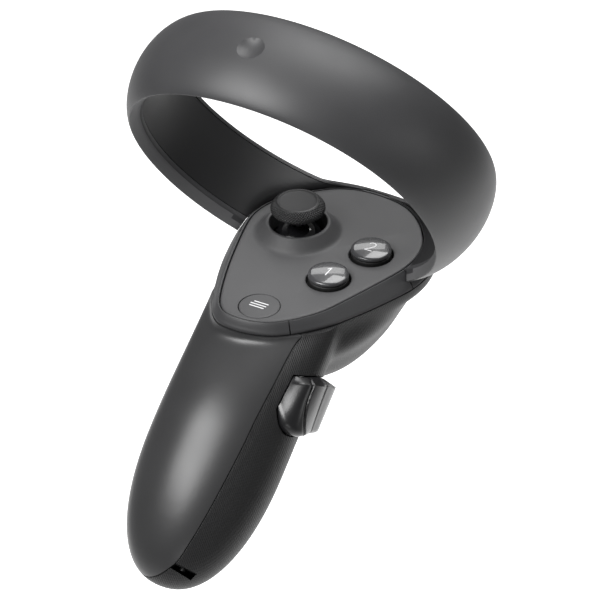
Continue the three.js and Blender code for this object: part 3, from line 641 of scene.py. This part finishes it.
def bezel_piece(name, a0, a1, node):
    n = max(24, int(abs(a1 - a0) / TAU * 320))
    th = np.linspace(a0, a1, n)
    p, m = outline_at(th), outline_normal(th)
    y = p[:, 1]
    o, z = collar_out(y), collar_z(y)
    rows = [
        (0.3 + 0 * o, -2.3 + 0 * o), (0.3 + 0 * o, -0.42 + 0 * o), (0.36 + 0 * o, -0.22 + 0 * o), (0.52 + 0 * o, -0.12 + 0 * o), (0.74 + 0 * o, -0.1 + 0 * o),
        (lerp(0.75, o, 0.12), lerp(-0.1, z + 0.5, 0.085)), (lerp(0.75, o, 0.35), lerp(-0.1, z + 0.5, 0.28)), (lerp(0.75, o, 0.6), lerp(-0.1, z + 0.5, 0.54)),
        (lerp(0.75, o, 0.82), lerp(-0.1, z + 0.5, 0.78)), (o - 0.03, z + 0.78), (o, z + 0.4), (o, z + 0.15), (o - 0.04, z + 0.04), (o - 0.14, z),
        (o - 2.0, z), (-1.3 + 0 * o, z), (-1.3 + 0 * o, -2.3 + 0 * o),
    ]
    loops = [np.stack([p[:, 0] + m[:, 0] * r[0], p[:, 1] + m[:, 1] * r[0], r[1]], -1) for r in rows]
    # loops run along the section for each angle
    sect = [np.array([l[i] for l in loops]) for i in range(n)]
    ob = temp(loft(sect), name)
    shade(ob, 40)
    return place(ob, "housing", [node], "housing_plastic")


bezel_piece("collar_left", LEFT_ROOT + GAP_A, SEAM_DIR + TAU - GAP_A, "bezel_left")
bezel_piece("collar_right", SEAM_DIR + GAP_A, RIGHT_ROOT - GAP_A, "bezel_right")
bezel_piece("collar_front", RIGHT_ROOT + GAP_A, LEFT_ROOT - GAP_A, "bezel_front")

# ------------------------------------------------------------------ tracking ring
R_ = dict(yb=-25.267, zb=31.534, tb=31.02, Rb=46.327, ti=3.429, ecb=1.06, kb=0.033, k2b=0.032,
          yf=2.596, zf=42.002, tf=28.97, Rf=48.16, tif=2.262, ecf=0.96, kf=0.014, k2f=0.0, bulge=4.816, x=0.2)
CB, CF = np.array([R_["x"], R_["yb"], R_["zb"]]), np.array([R_["x"], R_["yf"], R_["zf"]])
AX = (CF - CB) / np.linalg.norm(CF - CB)


def rim_point(which, th, dR=0.0):
    b = which == "b"
    tau = math.radians(R_["tb"] if b else R_["tf"])
    R, ec = (R_["Rb"] if b else R_["Rf"]) + dR, R_["ecb"] if b else R_["ecf"]
    k, k2 = (R_["kb"], R_["k2b"]) if b else (R_["kf"], R_["k2f"])
    y0, z0 = (R_["yb"], R_["zb"]) if b else (R_["yf"], R_["zf"])
    s = np.sin(th)
    cx = np.cos(th) * (1 + k * s + k2 * s * s)
    return np.stack([R_["x"] + R * cx, y0 - math.sin(tau) * R * ec * s, z0 + math.cos(tau) * R * ec * s], -1)


NRING = 320
RTH = np.arange(NRING) / NRING * TAU
Bo, Bi = rim_point("b", RTH), rim_point("b", RTH, -1.72) + AX * 3.28
Fi, Fo = rim_point("f", RTH, R_["tif"] - 0.6), rim_point("f", RTH, R_["tif"])


def ring_n(s):
    M = lerp(Bo, Fo, s) - lerp(CB, CF, s)
    M = M - (M @ AX)[:, None] * AX
    return M / np.linalg.norm(M, axis=1, keepdims=True)


def clear_plate(P, margin):
    """Eases points near the plate's level outwards, so the ring's root runs along the plate's outline."""
    v = P[:, :2] - OUT_C
    t, rho = np.arctan2(v[:, 1], v[:, 0]), np.hypot(v[:, 0], v[:, 1])
    q = outline_at(t) - OUT_C
    d = rho - np.hypot(q[:, 0], q[:, 1])
    soft = 0.8
    want = margin + soft * np.log1p(np.exp(clamp((d - margin) / soft, -30, 30)))
    w = smooth((13 - P[:, 2]) / 9) * smooth((d + 8) / 4.5)
    move = w * (np.maximum(want, d) - d)
    out = P.copy()
    out[:, :2] += v / rho[:, None] * move[:, None]
    return out


def outer(s, d=0.0):
    n = ring_n(s)
    P = lerp(Bo, Fo, s) + n * (R_["bulge"] * (1 - abs(2 * s - 1) ** 2) ** 0.75 + d)
    return clear_plate(P, 2.6 + 0.6 * d)


def inner(s, d=0.0):
    return clear_plate(lerp(Bi, Fi, s) + ring_n(s) * d, 0.45 + 0.6 * d)


section, rim_rows = [], []
us = 0.5 - 0.5 * np.cos(np.linspace(0, math.pi, 30))
for u in us[1:-1]:
    section.append(outer(float(u)))
corner = [lerp(outer(0.0), outer(0.012), 0.35), lerp(outer(0.0), inner(0.0), 0.035)]
section.insert(0, corner[0])
section.insert(0, corner[1])
front = [outer(0.997), lerp(outer(1.0), inner(1.0), 0.06)]
section += front
section += [lerp(outer(1.0), inner(1.0), 0.5), lerp(outer(1.0), inner(1.0), 0.9), inner(0.994), inner(0.975), inner(0.955)]
section += [inner(0.955, 1.15), outer(0.72, -1.8), outer(0.4, -1.8), inner(0.06, 2.3)]
rim_from = len(section) + 1
section += [inner(0.06), inner(0.03), inner(0.006), lerp(outer(0.0), inner(0.0), 0.965), lerp(outer(0.0), inner(0.0), 0.6), lerp(outer(0.0), inner(0.0), 0.3)]
ns = len(section)
loops = [np.array([row[i] for row in section]) for i in range(NRING)]
ring_v, ring_f = loft(loops, True)
ring = temp((ring_v, ring_f), "ring_shell")
liner_rows = [inner(0.07, 0.15 + 0.1), inner(0.0725, 0.15)] + [inner(float(q), 0.15) for q in np.linspace(0.1, 0.9, 12)] + [
    inner(0.9475, 0.15), inner(0.95, 0.25), inner(0.95, 1.0), inner(0.5, 1.45), inner(0.07, 1.45)]
liner = temp(loft([np.array([row[i] for row in liner_rows]) for i in range(NRING)], True), "ring_liner")

head_clear = temp(head_data(0.32, 0.0), "head_clear")
plate_clear = temp(loft([outline_loop(0.3, -60), outline_loop(0.3, 0.35)]), "plate_clear")
collar_clear = temp(loft([
    outline_loop(lambda y: collar_out(y) + 0.35, lambda y: collar_z(y) - 0.6),
    outline_loop(lambda y: collar_out(y) + 0.35, lambda y: collar_z(y) + 0.9),
    outline_loop(0.95, 0.25),
]), "collar_clear")
low = temp(loft([[(-100, -100, -74), (100, -100, -74), (100, 100, -74), (-100, 100, -74)], [(-100, -100, -14), (100, -100, -14), (100, 100, -14), (-100, 100, -14)]]), "low")
for piece in (ring, liner):
    for cutter in (head_clear, plate_clear, collar_clear, low):
        boolean(piece, cutter, keep=True)
    largest(piece)
for cutter in (head_clear, plate_clear, collar_clear, low):
    drop(cutter)

# one plain round dimple near the crown
DIMPLE = (92.2, 0.52)
k = int(round(math.radians(DIMPLE[0]) / TAU * NRING))
dc, dn = outer(DIMPLE[1])[k], ring_n(DIMPLE[1])[k]


def sphere(c, r, n=48):
    pts = [(r * math.sin(a), -r * math.cos(a)) for a in np.linspace(0, math.pi, n // 2)]
    pts[0], pts[-1] = (0.0, -r), (0.0, r)
    return lathe(pts, c[0], c[1], c[2], n)


boolean(ring, sphere(dc + dn * 6.9, 8.06))
shade(ring, 30)
# painted light: the faces of the back rim that point backwards and inwards (its chamfer) get a paler copy of the
# housing plastic, standing in for the light that band catches
ring.data.materials.clear()
ring.data.materials.append(MAT["housing_plastic"])
ring.data.materials.append(MAT["rim_painted_light"])
me = ring.data
co = np.zeros(len(me.polygons) * 3)
no = np.zeros(len(me.polygons) * 3)
me.polygons.foreach_get("center", co)
me.polygons.foreach_get("normal", no)
co = co.reshape(-1, 3) * 1000 - np.array([0, 57.0, 25.0])
no = no.reshape(-1, 3)
along = (co - CB) @ AX
radial = co - CB - along[:, None] * AX
reach = np.linalg.norm(radial, axis=1)
facing = no @ AX
inward = (no * radial).sum(1) / reach
me.polygons.foreach_set("material_index", ((facing < -0.2) & (facing > -0.85) & (inward < -0.3) & (along < 9)).astype(np.int32))
place(ring, "housing", ["ring_outer_shell"])
shade(liner, 30)
place(liner, "housing", ["ring_inner_liner"], "liner_plastic")

# ------------------------------------------------------------------ housing: one outer surface, split into grip shell and battery cover
VOX = 0.6
body = temp(head_data(0.3, 4.0, 8), "body")
boolean(body, handle_data(0.12, 1.5), "UNION")
remesh(body, VOX, 62)
inside = temp(head_data(-2.0, 6.0, 3), "inside")
boolean(inside, handle_data(-2.0, 3.0), "UNION")
boolean(body, inside, keep=False)
boolean(body, loft([
    outline_loop(lambda y: collar_out(y) + 6, lambda y: collar_z(y) - 0.1),
    outline_loop(lambda y: collar_out(y) + 6, 12),
]))
SEAM = [
    [4, 13.4, -3.6, -19.6, 1.0], [12.5, 13.3, -5.4, -19.8, -0.5], [26, 12.9, -8.5, -20, -2], [41, 13.0, -11.4, -20, -2.5], [50, 12.9, -12.0, -20, -2.5],
    [61, 11.9, -12.1, -19.2, -2.5], [70, 10.4, -11.5, -17.5, -2.5], [80, 8.1, -9.9, -14, -2], [86, 5.0, -7.7, -11, -1.5], [90, 2.6, -6.2, -7, -1], [100, -1, -3, -5, 0],
]


def cover_zone(g):
    rows = []
    for t, xr, fr, xl, fl in SEAM:
        dx, df = xr - xl, fr - fl
        l = math.hypot(dx, df)
        ux, uf = dx / l, df / l
        nx, nf = uf, -ux
        q = lambda s, d: hp(t, xl + ux * s + nx * d, fl + uf * s + nf * d)
        rows.append(np.array([q(w, g) for w in np.linspace(-50, l + 50, 70)] + [q(l + 50, g + 70), q(-50, g + 70)]))
    return loft(through(rows, 6))


cover = bpy.data.objects.new("cover", body.data.copy())
bpy.context.scene.collection.objects.link(cover)
boolean(cover, cover_zone(0.17), "INTERSECT")
boolean(body, cover_zone(-0.17))


def prism_yz(pts, x0, x1):
    return loft([[(x0, p[0], p[1]) for p in pts], [(x1, p[0], p[1]) for p in pts]])


def handle_box(x0, x1, f0, f1, t0, t1):
    a = [hp(t0, x, f) for x, f in ((x0, f0), (x1, f0), (x1, f1), (x0, f1))]
    b = [hp(t1, x, f) for x, f in ((x0, f0), (x1, f0), (x1, f1), (x0, f1))]
    return loft([a, b])


boolean(body, prism_yz([[45, -9.3], [45, -50], [-3.5, -50], [-7, -30], [2.5, -21], [8, -9.3]], -11.4, 11.4))


# grip lever: a barrel-sided pad with a shallow finger scoop, in the handle's (angle, length) map
def lever_edges(phi):
    """Where the lever starts and ends along the handle at angle phi, in degrees."""
    top = np.interp(phi, [-36, -20, 0, 25, 52], [25.6, 24.0, 22.2, 20.6, 19.8])
    bot = sum(
        np.interp(phi + q, [-44, -36, -30, -20, -8, 10, 25, 52], [31.0, 35.5, 39.0, 41.0, 41.2, 38.6, 36.4, 35.0]) for q in (-6, -4, -2, 0, 2, 4, 6)
    ) / 7
    return top, bot


def section_point(phi, t, o):
    """Point over the handle's surface at section angle phi (degrees) and height o."""
    p = np.radians(phi)
    c, s = np.cos(p), np.sin(p)
    b = np.where(s > 0, BF, palm_depth(t))
    nx, nf = c / A, s / b
    l = np.hypot(nx, nf)
    return hp(t, A * c + nx / l * o, b * s + nf / l * o)


def lever_height(phi, b):
    """Height over the handle's surface; b runs 0 to 1 from the top edge to the bottom edge."""
    rim = -19.2 + 19.0 * b**3.5
    rise = clamp((phi + 36.5) / (rim + 36.5), 0, 1)
    h = 0.2 + 3.5 * np.sin(rise * math.pi / 2) ** 1.1
    groove = np.exp(-(((phi - rim - 2.0) / 1.1) ** 2))
    crease = 5 + 7.5 * b**2
    mid = clamp((phi - rim - 3.5) / (crease - rim - 3.5), 0, 1)
    scoop = -0.55 * np.sin(mid * math.pi / 2) ** 0.8
    after = clamp((phi - crease) / (27 - crease), 0, 1)
    lip = 1.35 * smooth(after)
    valley = -0.25 * np.exp(-(((phi - crease) / 1.2) ** 2))
    over = phi > rim + 2
    out = np.where(over, 3.7 + scoop + lip + valley, h) - 0.75 * groove
    fade = smooth((52 - phi) / 6)
    return out * (0.35 + 0.65 * fade)


def lever_data(grow=0.0, low=-4.2, cutter=False):
    phis = np.concatenate([np.linspace(-36, -22, 18), np.linspace(-21.4, -3, 40), np.linspace(-2.4, 16, 34), np.linspace(17, 52, 30)])
    bs = np.concatenate([[0, 0.012, 0.03, 0.055], np.linspace(0.09, 0.9, 30), [0.93, 0.955, 0.975, 0.99, 1.0]])
    if cutter:
        phis, bs = np.linspace(-36, 52, 60), np.linspace(0, 1, 26)
    P, B = np.meshgrid(phis, bs, indexing="ij")
    top, bot = lever_edges(P)
    T = top - grow + (bot - top + 2 * grow) * B
    PH = P + np.where(P < 0, -1, 1) * grow * 2.9 * np.abs(np.linspace(-1, 1, len(phis)))[:, None] if grow else P
    if cutter:
        up = np.full_like(P, 7.0)
    else:
        mm = T - top
        chamfer = np.interp(P, [-36, -20, 8, 22, 52], [2.4, 2.2, 1.6, 0.9, 0.7])
        up = lever_height(P, B)
        up = np.where(mm < chamfer, lerp(0.3, up, clamp(mm / chamfer, 0, 1) ** 0.85), up)
        end = bot - T
        rr = 2.0
        up = np.where(end < rr, up - (up + 0.6) * 0.62 * (1 - np.sqrt(clamp(1 - (1 - end / rr) ** 2, 0, 1))), up)
    topv = section_point(PH, T, up)
    botv = section_point(PH, T, np.full_like(P, low))
    a, b = topv.shape[:2]
    v = np.concatenate([topv.reshape(-1, 3), botv.reshape(-1, 3)])
    f = []
    off = a * b
    for i in range(a - 1):
        for j in range(b - 1):
            q = (i * b + j, (i + 1) * b + j, (i + 1) * b + j + 1, i * b + j + 1)
            f.append(q)
            f.append(tuple(off + k for k in q[::-1]))
    for i in range(a - 1):
        for j in (0, b - 1):
            q = (i * b + j, off + i * b + j, off + (i + 1) * b + j, (i + 1) * b + j)
            f.append(q if j == 0 else q[::-1])
    for j in range(b - 1):
        for i in (0, a - 1):
            q = (i * b + j, i * b + j + 1, off + i * b + j + 1, off + i * b + j)
            f.append(q if i == 0 else q[::-1])
    if signed_volume(v, f) < 0:
        f = [q[::-1] for q in f]
    return v, f


def boss(x, t, f0, f1, r, n=24):
    a = np.arange(n) / n * TAU
    return loft([hp(t + r * np.sin(a), x + r * np.cos(a), f0), hp(t + r * np.sin(a), x + r * np.cos(a), f1)])


def along(x, f, t0, t1, r, n=28):
    a = np.arange(n) / n * TAU
    return loft([hp(t0, x + r * np.cos(a), f + r * np.sin(a)), hp(t1, x + r * np.cos(a), f + r * np.sin(a))])


boolean(body, lever_data(0.45, -7.0, True))
slit = [hp(*q) for q in ((87.5, 4.1, -9.0), (85.9, 5.1, -9.6), (86.2, 10.9, -5.2), (88.3, 9.4, -3.6))]
boolean(body, loft([np.array(slit) - F * 4, np.array(slit) + F * 5]))
for x, t in ((-10.6, 40), (-10.6, 64)):
    boolean(body, boss(x, t, 7.4, 15.9, 2.6), "UNION")
    boolean(body, boss(x, t, 7.0, 14.2, 1.15))
largest(body)
largest(cover)
body.name, cover.name = "handle_shell", "palm_cover"
shade(body, 30)
shade(cover, 30)
place(body, "housing", ["grip_shell"], "textured_grip")
place(cover, "cover", ["battery_cover"], "cover_plastic")

SQUEEZE_AT, SQUEEZE_AXIS = (14.0, -51.655, -14.651), (0.0, 0.785317, 0.619094)


# room under the skin for the lever's squeeze
def turned(data, degrees):
    v, f = data
    m = Matrix.Rotation(math.radians(degrees), 3, Vector(SQUEEZE_AXIS))
    p = np.array(SQUEEZE_AT)
    return (np.asarray(v) - p) @ np.array(m).T + p, f


swept = lever_data(0.22)
for step in (1.6, 3.2, 4.8, 6.4, 8.0, 8.5):
    boolean(body, turned(swept, step))
largest(body)
shade(body, 30)
lever = temp(lever_data(), "squeeze_pad")
shade(lever, 24)
place(lever, "grip_button", ["grip_lever"], "lever_plastic")

# ------------------------------------------------------------------ index trigger
trig = temp(head_data(1.0, 0.0, 8), "index_trigger")
boolean(trig, prism_yz([[45, -9.6], [45, -50], [1.5, -50], [0.8, -34.8], [6, -31], [11, -26.5], [14, -21], [14.4, -16.5], [13.4, -13], [14.6, -10.4], [17.5, -9.6]], -10.9, 10.9), "INTERSECT")


def along_x(r, x0, x1, y, z, n=32):
    a = np.arange(n) / n * TAU
    return loft([np.column_stack([np.full(n, x0), y + r * np.cos(a), z + r * np.sin(a)]), np.column_stack([np.full(n, x1), y + r * np.cos(a), z + r * np.sin(a)])])


boolean(trig, along_x(1.5, -20, 20, 17.5, -13))
boolean(trig, along_x(3.3, -4.5, 4.5, 17.5, -13))
boolean(trig, loft([[(-4.5, 9.4, -16), (4.5, 9.4, -16), (4.5, 17.4, -16), (-4.5, 17.4, -16)], [(-4.5, 9.4, -10), (4.5, 9.4, -10), (4.5, 17.4, -10), (-4.5, 17.4, -10)]]))
largest(trig)
shade(trig, 30)
place(trig, "trigger", ["trigger_lever"], "black_plastic")

# ------------------------------------------------------------------ buttons
for name, (x, y) in BUTTONS.items():
    dome = [(0, 1.0), (5.6, 1.0), (5.78, 1.06), (5.85, 1.2), (5.85, 1.72), (5.8, 1.9), (5.66, 2.05), (5.44, 2.14)]
    for q in np.linspace(0.9, 0, 14)[:-1]:
        dome.append((5.85 * q, 2.6 - 0.42 * (q**2.2)))
    dome.append((0, 2.6))
    cap = temp(lathe(dome, x, y, n=96), name + "_dome")
    shade(cap, 40)
    place(cap, name, [name + "_cap"], "button_cap")


def stroke(points, width, z_at, height=0.02):
    """A thin painted line as a low ridge along points (x, y)."""
    p = np.array(points, float)
    d = np.gradient(p, axis=0)
    d /= np.linalg.norm(d, axis=1, keepdims=True)
    nrm = np.stack([-d[:, 1], d[:, 0]], -1) * width / 2
    loops = []
    for q, m in zip(p, nrm):
        zl = z_at(q[0], q[1])
        loops.append([(q[0] - m[0], q[1] - m[1], zl - 0.05), (q[0] + m[0], q[1] + m[1], zl - 0.05), (q[0] + m[0], q[1] + m[1], zl + height), (q[0] - m[0], q[1] - m[1], zl + height)])
    return loft(loops)


def dome_z(cx, cy):
    return lambda px, py: 2.6 - 0.42 * ((math.hypot(px - cx, py - cy) / 5.85) ** 2.2)


x, y = BUTTONS["button_1"]
s1 = [stroke([(x - 0.75, y + 1.0), (x - 0.35, y + 1.35), (x + 0.1, y + 1.9)], 0.34, dome_z(x, y)),
      stroke([(x + 0.1, y + 1.95), (x + 0.1, y + 0.6), (x + 0.1, y - 0.7), (x + 0.1, y - 1.95)], 0.34, dome_z(x, y))]
mark = temp(join("m", s1), "button_1_numeral")
place(mark, "button_1", (), "mark_paint")
x, y = BUTTONS["button_2"]
arc = [(x + 1.05 * math.cos(a), y + 0.85 + 1.05 * math.sin(a)) for a in np.linspace(math.radians(165), math.radians(-35), 16)]
s2 = [stroke(arc + [(x + 0.2, y - 0.65), (x - 0.5, y - 1.35), (x - 1.05, y - 1.9)], 0.34, dome_z(x, y)),
      stroke([(x - 1.1, y - 1.93), (x, y - 1.93), (x + 1.15, y - 1.93)], 0.34, dome_z(x, y))]
mark = temp(join("m", s2), "button_2_numeral")
place(mark, "button_2", (), "mark_paint")

menu = temp(lathe([(0, -4.6), (1.8, -4.6), (1.8, -3.4), (6.5, -3.4), (6.5, -2.6), (5.85, -2.6), (5.85, -0.3), (5.8, -0.14), (5.66, -0.04), (5.4, 0.0), (0, 0.0)], *MENU, n=128), "menu_disc")
clip = temp(loft([outline_loop(-2.6, -6), outline_loop(-2.6, -1.5), outline_loop(-2.6, -1.45)]), "clip")
boolean(clip, loft([outline_loop(-0.6, -1.5), outline_loop(-0.6, -0.45), outline_loop(-0.68, -0.18), outline_loop(-0.95, 0.0), outline_loop(-1.0, 2)]), "UNION")
boolean(menu, clip, "INTERSECT")
shade(menu, 30)
place(menu, "menu", ["menu_button"], "plate_plastic")
bars = []
for bx, by, half in ((-1.37, -36.2, 2.3), (-1.75, -37.33, 2.5), (-1.78, -38.4, 2.3)):
    bars.append(stroke([(bx - half, by), (bx, by), (bx + half, by)], 0.36, lambda a, b: 0.0, 0.015))
mark = temp(join("m", bars), "menu_bars")
place(mark, "menu", (), "mark_paint")

# ------------------------------------------------------------------ thumbstick
dome = [(8.0 * math.sin(math.radians(a)), PZ + 8.0 * math.cos(math.radians(a))) for a in np.linspace(17, 56, 26)]
dome += [(7.1 * math.sin(math.radians(a)), PZ + 7.1 * math.cos(math.radians(a))) for a in np.linspace(56, 17, 12)]
sd = temp(lathe(dome, *STICK, n=128), "stick_skirt")
shade(sd, 40)
place(sd, "stick", ["stick_dome"], "gloss_black")

ctrl = np.array([[5.2, 6.8], [6.2, 6.9], [6.95, 7.12], [7.48, 7.46], [7.8, 7.95], [7.85, 8.4], [7.72, 8.95], [7.4, 9.5], [6.9, 10.05], [6.35, 10.5], [5.95, 10.74], [5.7, 10.8]])
prof = through([c[None, :].repeat(1, 0) for c in ctrl], 5)
prof = np.array([q[0] for q in prof])
NK = 770
ROWS = len(prof)
ang = np.arange(NK) / NK * TAU
seg = np.concatenate([[0], np.cumsum(np.linalg.norm(np.diff(prof, axis=0), axis=1))])
# resample the profile evenly
ss = np.linspace(0, seg[-1], 56)
pr = np.stack([np.interp(ss, seg, prof[:, 0]), np.interp(ss, seg, prof[:, 1])], -1)
tg = np.gradient(pr, axis=0)
tg /= np.linalg.norm(tg, axis=1, keepdims=True)
nr = np.stack([tg[:, 1], -tg[:, 0]], -1)
starts = 55
turn = 1.05
A1 = starts * (ang[None, :] + turn * ss[:, None] / 7.85)
A2 = starts * (ang[None, :] - turn * ss[:, None] / 7.85)
kn = np.abs(np.sin(A1 / 2)) + np.abs(np.sin(A2 / 2)) - 1.2
kn = clamp(kn, -0.6, 0.55)
mask = smooth((ss - 0.9) / 0.7) * smooth((seg[-1] - 0.35 - ss) / 0.5)
disp = 0.24 * kn * mask[:, None]
V = []
for i in range(len(pr)):
    r = pr[i, 0] + nr[i, 0] * disp[i]
    z = pr[i, 1] + nr[i, 1] * disp[i]
    V.append(np.column_stack([STICK[0] + r * np.cos(ang), STICK[1] + r * np.sin(ang), z]))
under = [np.column_stack([STICK[0] + r * np.cos(ang), STICK[1] + r * np.sin(ang), np.full(NK, z)]) for r, z in ((0.4, 8.4), (2.2, 8.4), (2.2, 6.8))]
topl = [np.column_stack([STICK[0] + r * np.cos(ang), STICK[1] + r * np.sin(ang), np.full(NK, z)]) for r, z in
        ((5.56, 10.74), (5.44, 10.62), (5.3, 10.56), (4.6, 10.48), (3.4, 10.39), (2.0, 10.33), (0.4, 10.3))]
cv, cf = loft(under + V + topl)
fm = [0] * len(cf)
nq = (len(under) + len(V) + len(topl) - 1) * NK
for i in range(len(cf)):
    row = i // NK if i < nq else 999
    fm[i] = 1 if len(under) - 1 <= row < len(under) + len(V) - 1 else 0
cap = mesh_object("stick_grip", cv, cf, 60, (MAT["stick_rubber"], MAT["stick_knurl"]), fm)
place(cap, "stick", ["stick_cap"])

# ------------------------------------------------------------------ floor, light, camera
def stage_floor():
    z = -0.62
    me = bpy.data.meshes.new("floor")
    s = 6.0
    me.from_pydata([(-s, -s, z), (s, -s, z), (s, s, z), (-s, s, z)], [], [(0, 1, 2, 3)])
    ob = bpy.data.objects.new("floor", me)
    bpy.context.scene.collection.objects.link(ob)
    m, nt, b = principled("floor_painted_light_pool", (0.85, 0.85, 0.85), 0.9)
    b.inputs["Specular IOR Level"].default_value = 0.0
    # painted light: the white floor glows in a round pool centred behind and left of the object, full strength within
    # about 0.57 m of that centre and fading to dim by about 1.6 m; the glow also washes out the object's shadow on the
    # floor
    vec = coords(nt)
    mp = nt.nodes.new("ShaderNodeMapping")
    mp.inputs["Location"].default_value = (0.2 / 1.9, -0.85 / 1.9, 0)
    mp.inputs["Scale"].default_value = (1 / 1.9, 1 / 1.9, 0)
    nt.links.new(vec, mp.inputs["Vector"])
    g = nt.nodes.new("ShaderNodeTexGradient")
    g.gradient_type = "SPHERICAL"
    nt.links.new(mp.outputs["Vector"], g.inputs["Vector"])
    st = remap(nt, g.outputs["Fac"], 0.15, 0.7, 0.12, 1.0)
    b.inputs["Emission Color"].default_value = (1, 1, 1, 1)
    nt.links.new(st, b.inputs["Emission Strength"])
    me.materials.append(m)


stage_floor()


def area(name, loc, target, size, energy, shape="RECTANGLE"):
    l = bpy.data.lights.new(name, "AREA")
    l.shape = shape
    l.size, l.size_y = size
    l.energy = energy
    ob = bpy.data.objects.new(name, l)
    bpy.context.scene.collection.objects.link(ob)
    ob.location = loc
    ob.rotation_mode = "QUATERNION"
    ob.rotation_quaternion = (Vector(target) - Vector(loc)).to_track_quat("-Z", "Y")
    return ob


C0 = (0.0, 0.02, 0.03)
area("top", (0.0, 0.6, 1.05), C0, (0.9, 0.8), 11)
area("key", (-0.36, -0.62, 0.98), C0, (0.8, 0.6), 19)
area("back", (-0.62, 1.1, 0.82), C0, (0.45, 0.22), 0.9)
area("right", (1.25, 0.2, 0.35), C0, (0.5, 0.5), 1.5)
area("front_low", (0.5, -1.3, 0.1), C0, (0.5, 0.3), 1.2)

world = bpy.data.worlds.new("studio")
world.use_nodes = True
bpy.context.scene.world = world
bg = world.node_tree.nodes["Background"]
bg.inputs["Color"].default_value = (1, 1, 1, 1)
bg.inputs["Strength"].default_value = 0.11

cam = bpy.data.cameras.new("camera")
cam.lens = 3593.158 / 600 * 36
cam.sensor_width = 36
cam.clip_start, cam.clip_end = 0.01, 50
co = bpy.data.objects.new("camera", cam)
bpy.context.scene.collection.objects.link(co)
r = Vector((0.86961893, 0.4933875, -0.01821214))
d = Vector((0.413905, -0.70842519, 0.57167858)).normalized()
up = d.cross(r).normalized()
r = up.cross(d).normalized()
co.matrix_world = Matrix((
    (r.x, up.x, d.x, 0.425532), (r.y, up.y, d.y, -0.688452), (r.z, up.z, d.z, 0.602456), (0, 0, 0, 1)))
bpy.context.scene.camera = co
bpy.context.scene.view_settings.view_transform = "Standard"
bpy.context.scene.view_settings.look = "None"
